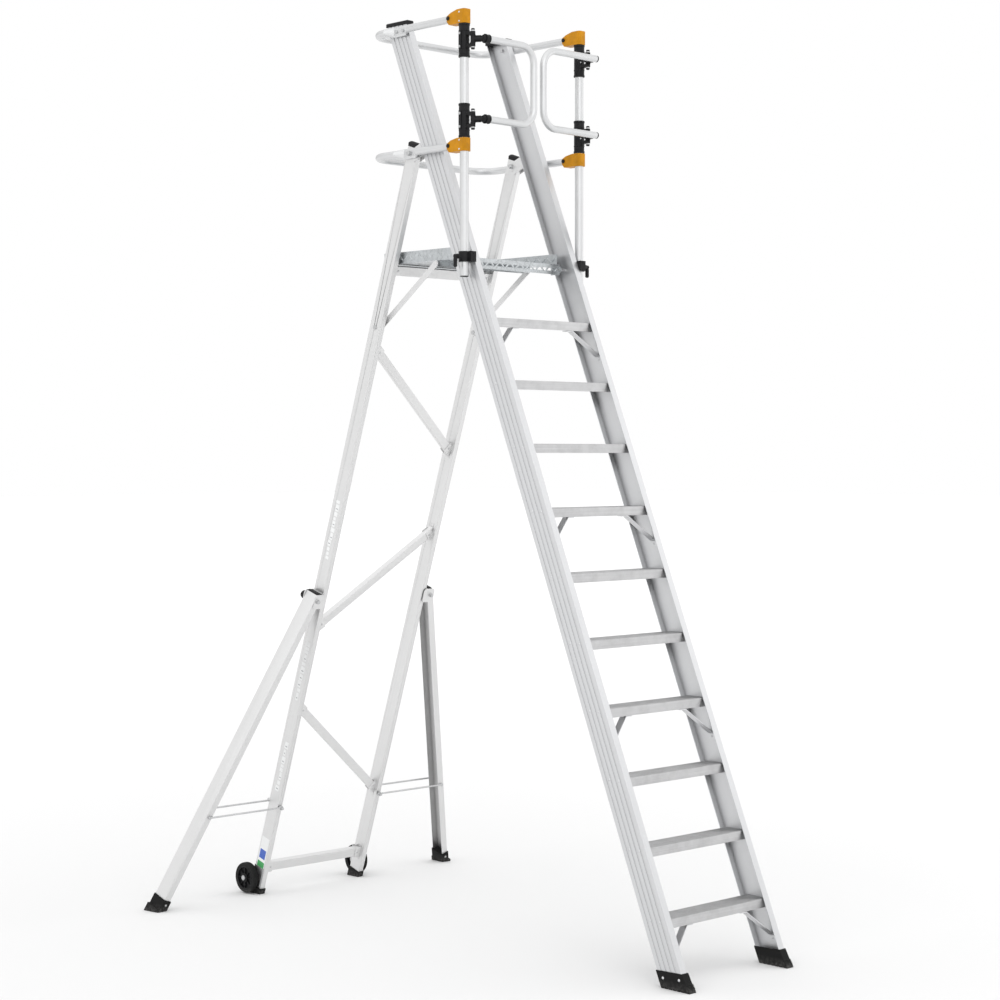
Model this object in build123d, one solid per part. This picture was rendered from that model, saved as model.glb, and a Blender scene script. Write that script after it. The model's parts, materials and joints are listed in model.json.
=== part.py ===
from build123d import *
import os
from math import atan2, cos, degrees, hypot, radians, sin, tan

# Mobile platform ladder: a leaning front ladder, a folding rear frame on two wheels,
# side outriggers, a drop-down platform, two guard rails and a pair of swing gates.
# Millimetres, +X to the climber's right, +Y from the climbing side to the rear, +Z up.

# Front ladder
TREAD_RISE = 250.0
TREAD_COUNT = 10
HALF_WIDTH = 300.0
FRONT_TILT = 22.2
STILE_DEPTH = 110.0
STILE_FLANGE = 31.0
STILE_WEB = 4.0
STILE_SKIN = 3.0
STILE_TOP = 3720.0
TREAD_SETBACK = 6.0
TREAD_DEPTH = 96.0
TREAD_NOSE = 36.0
TREAD_TAIL = 24.0
TREAD_SKIN = 3.0
BRACED_TREADS = (1, 4, 7, 10)
FRONT_TOE = -17.0
RIVET_INSETS = (30.0, 78.0)

# Rear frame
REAR_TILT = 18.3
REAR_FOOT_Y = 2506.0
LEG_DEPTH = 65.0
LEG_WIDTH = 25.0
LEG_TOP = 3378.0
LEG_WALL = 2.0
LEG_PIVOT = 3346.0
BAR_FRONT = 18.0
BAR_DEPTH = 24.0
BRACE_HEIGHT = 36.0

# Platform
DECK_TOP = (TREAD_COUNT + 1) * TREAD_RISE
DECK_HALF = 262.5
DECK_SKIN = 3.0
DECK_FRONT = 1190.0
DECK_REAR = 1700.0
DECK_LIP = 42.0
TOE_BOARD = 45.0
TOE_FRONT = 1205.0
DECK_HINGE_Y = 1190.0
DECK_HINGE_Z = 2728.0
HINGE_EAR = 12.0
SKIRT_REAR = 1240.0
STRUT_DECK = (0, 1378.0, 2736.0)
STRUT_LEG_HEIGHT = 2610.0
STRUT_X = 264.0
STRUT_THICK = 4.0
STRUT_HALF_WIDTH = 12.0

# Guard rails, posts and gates
POST_X = 330.0
POST_Y = 1143.0
POST_R = 17.5
POST_FOOT = 2667.0
CLAMP_REACH = 40.0
TOP_RAIL_Z = 3692.0
RAIL_R = 15.0
RAIL_REAR_Y = 1715.0
RAIL_BEND = 95.0
CRUSH_HALF_HEIGHT = 21.0
CRUSH_HALF_THICK = 4.0
CRUSH_X = HALF_WIDTH + 9.0
SLEEVE_R = 21.5
SLEEVE_LENGTH = 134.0
GATE_TUBE_R = 14.0
GATE_HINGE_Y = 1093.0
GATE_TUBE_Y = 1055.0
GATE_TOP_Z = 3598.0
GATE_BOTTOM_Z = 3282.0
GATE_GAP = 26.0
GATE_BEND = 70.0

# Wheels and outriggers
WHEEL_R = 67.5
WHEEL_WIDTH = 30.0
TYRE_THICK = 15.0
AXLE_R = 8.0
BRACKET_THICK = 4.0
AXLE_Y = 2568.0
FLOOR_GAP = 3.0
OUTRIGGER_PIVOT_X = 328.6
OUTRIGGER_PIVOT = 1399.0
OUTRIGGER_FOOT_X = 831.0
OUTRIGGER_FOOT = -11.0
CHANNEL_WIDTH = 31.5
CHANNEL_DEPTH = 71.0
CHANNEL_WALL = 2.5
STAY_HEIGHT = 425.0
STAY_R = 4.0

# Fits
SLIP = 0.3
RUNNING = 0.05
BOLT_R = 6.0

EAR_GAP = 0.5
EAR_THICK = 3.0

# Worked out from the above
FRONT_SLOPE = tan(radians(FRONT_TILT))
LEG_MID = LEG_DEPTH / 2
MID_Y = (FRONT_TOE + AXLE_Y + WHEEL_R) / 2
AXLE_Z = WHEEL_R + FLOOR_GAP
WHEEL_X = HALF_WIDTH + BRACKET_THICK + 1 + WHEEL_WIDTH / 2
SPREAD = degrees(atan2(OUTRIGGER_FOOT_X - OUTRIGGER_PIVOT_X, OUTRIGGER_PIVOT - OUTRIGGER_FOOT))
OUTRIGGER_LENGTH = hypot(OUTRIGGER_FOOT_X - OUTRIGGER_PIVOT_X, OUTRIGGER_PIVOT - OUTRIGGER_FOOT)
STAY_REACH_X = OUTRIGGER_PIVOT_X + (OUTRIGGER_PIVOT - STAY_HEIGHT) * tan(radians(SPREAD))
TOP_RAIL_CRUSH_Y = TOP_RAIL_Z * FRONT_SLOPE + 40.0
TOP_RAIL_BOLTS = (TOP_RAIL_CRUSH_Y - 20.0, TOP_RAIL_CRUSH_Y + 20.0)
POST_TOP = TOP_RAIL_Z + 20.0
RAIL_FRONT_Y = POST_Y + 62.0
CONNECTOR_PIN_Y = POST_Y + 71.0


def span(x0, x1, y0, y1, z0, z1):
    """Box between two opposite corners."""
    return Pos((x0 + x1) / 2, (y0 + y1) / 2, (z0 + z1) / 2) * Box(x1 - x0, y1 - y0, z1 - z0)


def rod(start, end, radius):
    """Round bar from one point to another."""
    direction = Vector(*end) - Vector(*start)
    face = Plane(origin=start, z_dir=direction) * Circle(radius)
    return extrude(face, amount=direction.length)


def front(shape):
    """Place a shape drawn in the stile's own upright frame: its front face leans by FRONT_TILT."""
    return Rot(-FRONT_TILT, 0, 0) * shape


def rear(shape):
    """Place a shape drawn in the leg's own upright frame: it leans by REAR_TILT towards the ladder."""
    return Pos(0, REAR_FOOT_Y, 0) * Rot(REAR_TILT, 0, 0) * shape


def rear_point(x, y, z):
    """World coordinates of a point in the leg's own frame."""
    tilt = radians(REAR_TILT)
    return (x, REAR_FOOT_Y + y * cos(tilt) - z * sin(tilt), y * sin(tilt) + z * cos(tilt))


def other_side(shape):
    """The same shape on the climber's left."""
    return mirror(shape, about=Plane.YZ)


def slab(z0, z1):
    """A level slab wide enough to trim any part between two heights."""
    return span(-1500, 1500, -500, 4000, z0, z1)


def strip(points, thickness, width):
    """Flat bar bent along a path in the XZ plane, with its width along Y."""
    path = Polyline(*points)
    face = Plane.XZ * trace(path, thickness)
    return Pos(0, width / 2, 0) * extrude(face, amount=width)


TREADS = [TREAD_RISE * (index + 1) for index in range(TREAD_COUNT)]
PIVOT = rear_point(0, LEG_MID, LEG_PIVOT)
STRUT_LEG = rear_point(0, LEG_MID, STRUT_LEG_HEIGHT)


# ---------------------------------------------------------------- front ladder


def rivet(x, y, z, radius=5.5, height=2.2):
    """Domed rivet head sitting on an outer face that looks along +X."""
    dome = Cone(radius, radius * 0.55, height, align=(Align.CENTER, Align.CENTER, Align.MIN))
    return Pos(x, y, z) * Rot(0, 90, 0) * dome


def stile():
    """Right stile: a C channel open towards the treads, with grooves along its outer web."""
    inner = HALF_WIDTH - STILE_FLANGE
    section = span(inner, HALF_WIDTH, 0, STILE_DEPTH, -60, STILE_TOP * 1.12)
    hollow = span(
        inner - 1, HALF_WIDTH - STILE_WEB, STILE_SKIN, STILE_DEPTH - STILE_SKIN, -100, STILE_TOP * 1.2
    )
    section -= hollow
    for centre in (22.0, 44.0, 66.0, 88.0):
        section -= span(HALF_WIDTH - 1.4, HALF_WIDTH + 1, centre - 4, centre + 4, -100, STILE_TOP * 1.2)
    channel = front(section) & slab(14.0, STILE_TOP)
    pin_hole = rod((200, DECK_HINGE_Y, DECK_HINGE_Z), (400, DECK_HINGE_Y, DECK_HINGE_Z), BOLT_R + RUNNING)
    rail_holes = [
        rod((200, y, TOP_RAIL_Z), (400, y, TOP_RAIL_Z), 4.0 + RUNNING) for y in TOP_RAIL_BOLTS
    ]
    return channel - pin_hole - rail_holes[0] - rail_holes[1]


def tread():
    """Extruded step with a ribbed top, a deep nose and a shorter tail; its top is at z = 0."""
    half = HALF_WIDTH - STILE_WEB - 0.5
    rib = 1.5
    body = span(-half, half, 0, TREAD_DEPTH, -TREAD_SKIN - rib, -rib)
    body += span(-half, half, 0, TREAD_SKIN, -TREAD_NOSE, -rib)
    body += span(-half, half, 0, 12, -TREAD_NOSE, TREAD_SKIN - TREAD_NOSE)
    body += span(-half, half, TREAD_DEPTH - TREAD_SKIN, TREAD_DEPTH, -TREAD_TAIL, -rib)
    for index in range(10):
        y = 3 + index * (TREAD_DEPTH - 9) / 9
        body += span(-half, half, y, y + 4, -rib - 0.2, 0)
    return body


def place_tread(height):
    return Pos(0, height * FRONT_SLOPE + TREAD_SETBACK, height) * tread()


def corner_brace(height):
    """Bent flat strip from under a tread's nose out to the right stile's web, leaning with the stile."""
    web = HALF_WIDTH - STILE_WEB - 2.0
    under = -TREAD_NOSE - 2.0
    path = [(140, under), (172, under), (web, -140), (web, -162)]
    wide = Pos(0, height * FRONT_SLOPE, height) * strip(path, 3.0, 300.0)
    return wide & front(span(0, HALF_WIDTH, 19.5, 47.5, 0, STILE_TOP * 1.12))


def front_boot():
    """Rubber shoe round the right stile's foot, with a flared toe and a grooved sole."""
    profile = [(FRONT_TOE, 0), (121, 0), (127, 14), (148, 62), (21.5, 66), (2, 30), (-13, 10)]
    face = Plane.YZ * make_face(Polyline(*profile, close=True))
    boot = Pos(HALF_WIDTH - STILE_FLANGE - 4, 0, 0) * extrude(face, amount=STILE_FLANGE + 8)
    inner = HALF_WIDTH - STILE_FLANGE - SLIP
    stile_end = span(inner, HALF_WIDTH + SLIP, -SLIP, STILE_DEPTH + SLIP, -60, 200)
    boot -= front(stile_end) & slab(13.7, 300)
    for index in range(6):
        y = 4 + index * 20
        boot -= span(200, 400, y, y + 6, -1, 2.5)
    return boot


def stile_cap():
    """Plastic cap on the level cut at the right stile's top."""
    y = STILE_TOP * FRONT_SLOPE
    depth = STILE_DEPTH / cos(radians(FRONT_TILT))
    cap = span(
        HALF_WIDTH - STILE_FLANGE - 2, HALF_WIDTH + 2, y - 6, y + depth + 6, STILE_TOP, STILE_TOP + 17
    )
    top = cap.edges().group_by(Axis.Z)[-1]
    return fillet(top, 5)


def crushed_side(y_front, y_centre, half_flat, z, bolt_ys, bolt_r):
    """Right side of a rail: round tube, flattened against the stile, then round again."""
    blend = 30.0
    y0 = y_centre - half_flat - blend
    y1 = y_centre - half_flat
    y2 = y_centre + half_flat
    y3 = y_centre + half_flat + blend

    def ring(y):
        return Plane(origin=(POST_X, y, z), x_dir=(1, 0, 0), z_dir=(0, 1, 0)) * Circle(RAIL_R)

    def oval(y):
        plane = Plane(origin=(CRUSH_X, y, z), x_dir=(1, 0, 0), z_dir=(0, 1, 0))
        return plane * Ellipse(CRUSH_HALF_THICK, CRUSH_HALF_HEIGHT)

    side = loft([ring(y0), oval(y1)])
    side += extrude(oval(y1), amount=y2 - y1)
    side += loft([oval(y2), ring(y3)])
    side += rod((POST_X, y_front, z), (POST_X, y0, z), RAIL_R)
    side -= rod((POST_X, y_front - 1, z), (POST_X, y0, z), RAIL_R - 2)
    for y in bolt_ys:
        side -= rod((200, y, z), (400, y, z), bolt_r + RUNNING)
    return side, y3


def guard_rail(y_centre, half_flat, z, bolt_ys, bolt_r):
    """U-shaped rail: two flattened sides joined by a rounded rear run."""
    side, y_rear = crushed_side(RAIL_FRONT_Y, y_centre, half_flat, z, bolt_ys, bolt_r)
    path = FilletPolyline(
        (POST_X, y_rear, z),
        (POST_X, RAIL_REAR_Y, z),
        (-POST_X, RAIL_REAR_Y, z),
        (-POST_X, y_rear, z),
        radius=RAIL_BEND,
    )
    start = Plane(origin=(POST_X, y_rear, z), z_dir=(0, 1, 0))
    back = sweep(start * (Circle(RAIL_R) - Circle(RAIL_R - 2)), path=path)
    return side + back + other_side(side)


def post():
    """Right gate post: round tube beside the stile, open at its foot."""
    tube = rod((POST_X, POST_Y, POST_FOOT), (POST_X, POST_Y, POST_TOP), POST_R)
    return tube - rod((POST_X, POST_Y, POST_FOOT - 1), (POST_X, POST_Y, POST_TOP + 1), POST_R - 2.5)


def rail_connector(z, capped):
    """Amber corner fitting that clamps a rail's end to the right post."""
    half = 26.5
    y0 = POST_Y - 21
    y1 = CONNECTOR_PIN_Y + 9
    crown = 3.0 if capped else 0.0
    profile = [
        (y0, z - half),
        (y1 - 12, z - half),
        (y1, z - 12),
        (y1, z + 9),
        (y1 - 22, z + 20),
        (POST_Y + 22, z + half + crown),
        (y0, z + half + crown),
    ]
    face = Plane.YZ * make_face(Polyline(*profile, close=True))
    body = Pos(POST_X - 21, 0, 0) * extrude(face, amount=42)
    body = fillet(body.edges().filter_by(Axis.Z).group_by(Axis.Y)[0], 12)
    bore_top = POST_TOP + SLIP if capped else z + 100
    body -= rod((POST_X, POST_Y, z - 100), (POST_X, POST_Y, bore_top), POST_R + 0.1)
    body -= rod((POST_X, RAIL_FRONT_Y - SLIP, z), (POST_X, y1 + 10, z), RAIL_R + 0.1)
    return body - rod((POST_X - 40, CONNECTOR_PIN_Y, z), (POST_X + 40, CONNECTOR_PIN_Y, z), 5.1)


def connector_pins(z):
    """Two headed pins that press a connector's ears onto the rail's end, one from each side."""
    pins = []
    for side in (-1, 1):
        shank = rod((POST_X + side * 15.5, CONNECTOR_PIN_Y, z), (POST_X + side * 22, CONNECTOR_PIN_Y, z), 5)
        head = rod((POST_X + side * 21.2, CONNECTOR_PIN_Y, z), (POST_X + side * 25, CONNECTOR_PIN_Y, z), 8)
        pins.append(shank + head)
    return pins


def hinge_sleeve(z):
    """Black sleeve clamped on the right post, with two lugs that carry a gate hinge pin."""
    z0 = z - SLEEVE_LENGTH / 2
    sleeve = rod((POST_X, POST_Y, z0), (POST_X, POST_Y, z0 + SLEEVE_LENGTH), SLEEVE_R)
    for low, high in ((z - 30, z - 17), (z + 17, z + 30)):
        lug = span(POST_X - 10, POST_X + 10, GATE_HINGE_Y, POST_Y - 10, low, high)
        lug += rod((POST_X, GATE_HINGE_Y, low), (POST_X, GATE_HINGE_Y, high), 10)
        sleeve += lug
    sleeve -= rod((POST_X, GATE_HINGE_Y, z - 40), (POST_X, GATE_HINGE_Y, z + 40), 4 + RUNNING)
    return sleeve - rod((POST_X, POST_Y, z0 - 1), (POST_X, POST_Y, z0 + 200), POST_R + 0.1)


def gate_pin(z):
    """Steel hinge pin with a head above and a washer below."""
    pin = rod((POST_X, GATE_HINGE_Y, z - 34), (POST_X, GATE_HINGE_Y, z + 33), 4)
    pin += rod((POST_X, GATE_HINGE_Y, z + 30.2), (POST_X, GATE_HINGE_Y, z + 35), 8)
    return pin + rod((POST_X, GATE_HINGE_Y, z - 35), (POST_X, GATE_HINGE_Y, z - 30.2), 8)


def post_clamp():
    """Black clamp that holds the right post's foot to the stile."""
    z0, z1 = 2722.0, 2764.0
    clamp = rod((POST_X, POST_Y, z0), (POST_X, POST_Y, z1), 23)
    clamp += span(HALF_WIDTH + 0.3, POST_X, POST_Y - 38, POST_Y + 22, z0, z1)
    clamp += rod((POST_X + 15, POST_Y, 2743), (POST_X + CLAMP_REACH, POST_Y, 2743), 10)
    return clamp - rod((POST_X, POST_Y, z0 - 1), (POST_X, POST_Y, z1 + 1), POST_R + 0.1)


def clamp_lever():
    """L-shaped tightening handle on the right clamp."""
    x0 = POST_X + CLAMP_REACH + 0.4
    foot = 2705.0
    lever = rod((x0, POST_Y, 2743), (x0 + 13, POST_Y, 2743), 8)
    lever += span(x0 + 4, x0 + 13, POST_Y - 6, POST_Y + 6, foot, 2743)
    return lever + rod((x0 + 4, POST_Y, foot), (x0 + 13, POST_Y, foot), 6)


def pivot_bracket():
    """U bracket on the right stile's rear flange whose ears hold the rear leg's pivot."""
    z_along = PIVOT[1] * sin(radians(FRONT_TILT)) + PIVOT[2] * cos(radians(FRONT_TILT))
    y_across = PIVOT[1] * cos(radians(FRONT_TILT)) - PIVOT[2] * sin(radians(FRONT_TILT))
    x0 = HALF_WIDTH - LEG_WIDTH - 4.0
    x1 = HALF_WIDTH + 3.5
    z0, z1 = z_along - 38, z_along + 14
    web = span(x0, x1, STILE_DEPTH, STILE_DEPTH + 3, z0, z1)
    inner_ear = span(x0, x0 + 3, STILE_DEPTH, y_across, z0, z1)
    outer_ear = span(x1 - 3, x1, STILE_DEPTH, y_across, z0, z1)
    ends = [rod((x, y_across, z_along), (x + 3, y_across, z_along), 20) for x in (x0, x1 - 3)]
    bracket = front(web + inner_ear + outer_ear + ends[0] + ends[1])
    return bracket - rod((200, PIVOT[1], PIVOT[2]), (400, PIVOT[1], PIVOT[2]), BOLT_R + RUNNING)


def leg_pivot_bolt():
    """Bolt through the knee rail, the bracket's ears and the right leg's top."""
    outer = CRUSH_X + CRUSH_HALF_THICK
    bolt = rod((HALF_WIDTH - LEG_WIDTH - 12, PIVOT[1], PIVOT[2]), (outer + 6, PIVOT[1], PIVOT[2]), BOLT_R)
    bolt += rod((outer + 0.2, PIVOT[1], PIVOT[2]), (outer + 7, PIVOT[1], PIVOT[2]), 11)
    inner = HALF_WIDTH - LEG_WIDTH - 4.2
    return bolt + rod((inner - 8, PIVOT[1], PIVOT[2]), (inner, PIVOT[1], PIVOT[2]), 10)


def platform_hinge_pin():
    """Pin from the right stile's web into the deck's side skirt."""
    pin = rod((DECK_HALF - 8, 0, 0), (HALF_WIDTH + 4, 0, 0), BOLT_R)
    pin += rod((HALF_WIDTH + 0.1, 0, 0), (HALF_WIDTH + 5, 0, 0), 10)
    return Pos(0, DECK_HINGE_Y, DECK_HINGE_Z) * pin


def top_rail_bolts():
    """Two bolts through the flattened top rail and the right stile's web."""
    bolts = []
    outer = CRUSH_X + CRUSH_HALF_THICK
    for y in TOP_RAIL_BOLTS:
        shank = rod((HALF_WIDTH - 12, y, TOP_RAIL_Z), (outer + 3, y, TOP_RAIL_Z), 4.0)
        head = rod((outer + 0.1, y, TOP_RAIL_Z), (outer + 4.5, y, TOP_RAIL_Z), 7)
        nut = rod((HALF_WIDTH - 12, y, TOP_RAIL_Z), (HALF_WIDTH - STILE_WEB - 0.1, y, TOP_RAIL_Z), 7)
        bolts.append(shank + head + nut)
    return bolts


def ladder_rivets():
    """Rivet heads on the right stile's web at each tread, on its boot and on the connectors."""
    heads = []
    for height in TREADS:
        for inset in RIVET_INSETS:
            y = height * FRONT_SLOPE + inset
            heads.append(rivet(HALF_WIDTH, y, height - 12))
    for y, z in ((34.0, 42.0), (112.0, 38.0)):
        heads.append(rivet(HALF_WIDTH + 4, y, z))
    for z in (TOP_RAIL_Z, PIVOT[2]):
        for dz in (-18.0, 18.0):
            heads.append(rivet(POST_X + 21, POST_Y + 8, z + dz, radius=4))
    for z in (GATE_TOP_Z, GATE_BOTTOM_Z):
        for dz in (-8.0, 8.0):
            heads.append(rivet(POST_X + SLEEVE_R, POST_Y, z + dz, radius=3.5))
    return heads


# ------------------------------------------------------------------ rear frame


def rear_leg():
    """Right leg: rectangular tube, cut level at its foot and square at its top."""
    inner = HALF_WIDTH - LEG_WIDTH
    tube = span(inner, HALF_WIDTH, 0, LEG_DEPTH, -60, LEG_TOP)
    tube -= span(
        inner + LEG_WALL, HALF_WIDTH - LEG_WALL, LEG_WALL, LEG_DEPTH - LEG_WALL, -100, LEG_TOP + 1
    )
    x = HALF_WIDTH - LEG_WIDTH / 2
    tube -= rod((x, -10, STAY_HEIGHT), (x, LEG_DEPTH + 10, STAY_HEIGHT), STAY_R + RUNNING)
    leg = rear(tube) & slab(6.0, 4000)
    leg -= rod((200, PIVOT[1], PIVOT[2]), (400, PIVOT[1], PIVOT[2]), BOLT_R + RUNNING)
    return leg - rod((200, STRUT_LEG[1], STRUT_LEG[2]), (400, STRUT_LEG[1], STRUT_LEG[2]), 5.0 + RUNNING)


def cross_bar(left, right, height):
    """Hollow bar between the legs' inner faces; left and right give its height at each leg."""
    reach = HALF_WIDTH - LEG_WIDTH
    angle = degrees(atan2(right - left, 2 * reach))
    length = hypot(right - left, 2 * reach) + 2 * height
    outer = Box(length, BAR_DEPTH, height)
    inner = Box(length + 2, BAR_DEPTH - 4, height - 4)
    bar = Rot(0, -angle, 0) * (outer - inner)
    bar = Pos(0, BAR_FRONT + BAR_DEPTH / 2, (left + right) / 2) * bar
    return rear(bar & span(-reach, reach, -100, 100, -100, 4000))


def leg_shoe():
    """Rubber foot under the right leg, level with the floor."""
    inner = HALF_WIDTH - LEG_WIDTH
    block = rear(span(inner - 3, HALF_WIDTH + 3, -5, LEG_DEPTH + 4, -60, 26)) & slab(0, 60)
    leg_end = rear(span(inner - SLIP, HALF_WIDTH + SLIP, -SLIP, LEG_DEPTH + SLIP, -80, 100)) & slab(5.7, 100)
    return block - leg_end


def leg_cap():
    """Plastic cap on the right leg's top."""
    cap = span(
        HALF_WIDTH - LEG_WIDTH, HALF_WIDTH, -2, LEG_DEPTH + 2, LEG_TOP, LEG_TOP + 12
    )
    return rear(fillet(cap.edges().group_by(Axis.Z)[-1], 5))


def wheel_bracket():
    """Plate on the right leg's outer face that reaches back to the axle."""
    x0, x1 = HALF_WIDTH, HALF_WIDTH + BRACKET_THICK
    plate = rear(span(x0, x1, 6, LEG_DEPTH, 30, 120))
    ear = rod((x0, AXLE_Y, AXLE_Z), (x1, AXLE_Y, AXLE_Z), 20)
    neck = rear(span(x0, x1, LEG_DEPTH - 30, LEG_DEPTH + 14, 42, 82))
    bore = rod((x0 - 5, AXLE_Y, AXLE_Z), (x1 + 5, AXLE_Y, AXLE_Z), AXLE_R + RUNNING)
    return plate + ear + neck - bore


def wheel_axle():
    """Shoulder bolt that carries the right wheel."""
    x0 = HALF_WIDTH - 6
    x1 = WHEEL_X + WHEEL_WIDTH / 2 + 1
    axle = rod((x0, AXLE_Y, AXLE_Z), (x1 + 2, AXLE_Y, AXLE_Z), AXLE_R)
    return axle + rod((x1, AXLE_Y, AXLE_Z), (x1 + 6, AXLE_Y, AXLE_Z), 11) + rod(
        (x0, AXLE_Y, AXLE_Z), (HALF_WIDTH - 0.2, AXLE_Y, AXLE_Z), 12
    )


def wheel_core():
    """Moulded wheel centre with a recessed web on both faces and a plain bore."""
    half = WHEEL_WIDTH / 2
    rim_r = WHEEL_R - TYRE_THICK
    core = rod((WHEEL_X - half, AXLE_Y, AXLE_Z), (WHEEL_X + half, AXLE_Y, AXLE_Z), rim_r)
    for x0, x1 in ((WHEEL_X - half - 1, WHEEL_X - 6), (WHEEL_X + 6, WHEEL_X + half + 1)):
        groove = rod((x0, AXLE_Y, AXLE_Z), (x1, AXLE_Y, AXLE_Z), rim_r - 6)
        core -= groove - rod((x0, AXLE_Y, AXLE_Z), (x1, AXLE_Y, AXLE_Z), 19)
    return core - rod((WHEEL_X - 50, AXLE_Y, AXLE_Z), (WHEEL_X + 50, AXLE_Y, AXLE_Z), AXLE_R + RUNNING)


def tyre():
    """Rubber tyre round the wheel centre, with rounded shoulders."""
    half = WHEEL_WIDTH / 2
    ring = rod((WHEEL_X - half, AXLE_Y, AXLE_Z), (WHEEL_X + half, AXLE_Y, AXLE_Z), WHEEL_R)
    ring = fillet(ring.edges(), 6)
    return ring - rod(
        (WHEEL_X - 50, AXLE_Y, AXLE_Z), (WHEEL_X + 50, AXLE_Y, AXLE_Z), WHEEL_R - TYRE_THICK
    )


# ------------------------------------------------------------------ outriggers

def spread(shape):
    """Swing a shape drawn hanging from the pivot out to the outrigger's angle, on the right leg."""
    return rear(Pos(OUTRIGGER_PIVOT_X, LEG_MID, OUTRIGGER_PIVOT) * Rot(0, -SPREAD, 0) * shape)


def outrigger():
    """Right outrigger: a channel open towards the leg, from its hinge down to the floor."""
    half_w = CHANNEL_WIDTH / 2
    half_d = CHANNEL_DEPTH / 2
    bar = span(-half_w, half_w, -half_d, half_d, -OUTRIGGER_LENGTH - 60, 24)
    bar -= span(
        -half_w - 1,
        half_w - CHANNEL_WALL,
        CHANNEL_WALL - half_d,
        half_d - CHANNEL_WALL,
        -OUTRIGGER_LENGTH - 80,
        30,
    )
    bar -= rod((0, -60, 0), (0, 60, 0), 5 + RUNNING)
    return spread(bar) & slab(12, 3000)


def outrigger_boot():
    """Rubber boot round the right outrigger's foot, flared at the sole."""
    half_w = CHANNEL_WIDTH / 2 + 4
    half_d = CHANNEL_DEPTH / 2 + 4
    low = -OUTRIGGER_LENGTH - 60
    block = span(-half_w, half_w, -half_d, half_d, low, -OUTRIGGER_LENGTH + 62)
    block += span(-half_w - 2, half_w + 9, -half_d - 3, half_d + 3, low, -OUTRIGGER_LENGTH + 16)
    boot = spread(block) & slab(0, 300)
    inner = span(
        -CHANNEL_WIDTH / 2 - SLIP,
        CHANNEL_WIDTH / 2 + SLIP,
        -CHANNEL_DEPTH / 2 - SLIP,
        CHANNEL_DEPTH / 2 + SLIP,
        low - 20,
        0,
    )
    return boot - (spread(inner) & slab(11.7, 300))


def outrigger_bracket():
    """Right leg's hinge bracket: a plate on the outer face with an ear in front and one behind."""
    front_y = LEG_MID - CHANNEL_DEPTH / 2 - EAR_GAP - EAR_THICK
    rear_y = LEG_MID + CHANNEL_DEPTH / 2 + EAR_GAP
    z0, z1 = OUTRIGGER_PIVOT - 34, OUTRIGGER_PIVOT + 30
    x0, x1 = HALF_WIDTH - 15, OUTRIGGER_PIVOT_X + 18
    bracket = span(HALF_WIDTH, HALF_WIDTH + 4, front_y, rear_y + EAR_THICK, z0, z1)
    for y in (front_y, rear_y):
        ear = span(x0, x1, y, y + EAR_THICK, z0, z1)
        ear = fillet(ear.edges().filter_by(Axis.Y), 14)
        bracket += ear
    bracket -= rod(
        (OUTRIGGER_PIVOT_X, -60, OUTRIGGER_PIVOT), (OUTRIGGER_PIVOT_X, 130, OUTRIGGER_PIVOT), 5 + RUNNING
    )
    return rear(bracket)


def outrigger_bolt():
    """Hinge bolt across the right bracket's ears."""
    x, z = OUTRIGGER_PIVOT_X, OUTRIGGER_PIVOT
    bolt = rod((x, -13, z), (x, 80, z), 5)
    front_y = LEG_MID - CHANNEL_DEPTH / 2 - EAR_GAP - EAR_THICK
    return rear(bolt + rod((x, front_y - 6, z), (x, front_y - 0.1, z), 9))


def hinge_knob():
    """Black knob on the rear end of the right hinge bolt."""
    x, z = OUTRIGGER_PIVOT_X, OUTRIGGER_PIVOT
    y0 = LEG_MID + CHANNEL_DEPTH / 2 + EAR_GAP + EAR_THICK + 0.2
    knob = rod((x, y0, z), (x, y0 + 24, z), 17)
    knob = fillet(knob.edges().group_by(Axis.Y)[-1], 5)
    return rear(knob - rod((x, y0 - 1, z), (x, 80 + SLIP, z), 5 + RUNNING))


def stay_bolt():
    """Through bolt in the right leg that the two stay rods turn on."""
    x, z = HALF_WIDTH - LEG_WIDTH / 2, STAY_HEIGHT
    bolt = rod((x, -15, z), (x, LEG_DEPTH + 15, z), STAY_R)
    bolt += rod((x, -17, z), (x, -13.2, z), 8)
    return rear(bolt + rod((x, LEG_DEPTH + 13.2, z), (x, LEG_DEPTH + 17, z), 8))


def stay_rods():
    """Two rods, in front of and behind the right leg, that reach out to the outrigger."""
    x0, x1, z = HALF_WIDTH - LEG_WIDTH / 2, STAY_REACH_X, STAY_HEIGHT
    rods = []
    for y in (-8.0, LEG_DEPTH + 8.0):
        eye = rod((x0, y - 4.8, z), (x0, y + 4.8, z), 9)
        link = rod((x0, y, z), (x1, y, z), STAY_R)
        hook = rod((x1, y - 4.6, z), (x1, y + 4.6, z), 7)
        link = eye + link + hook
        rods.append(rear(link - rod((x0, y - 9, z), (x0, y + 9, z), STAY_R + RUNNING)))
    return rods


# -------------------------------------------------------------------- platform


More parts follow.
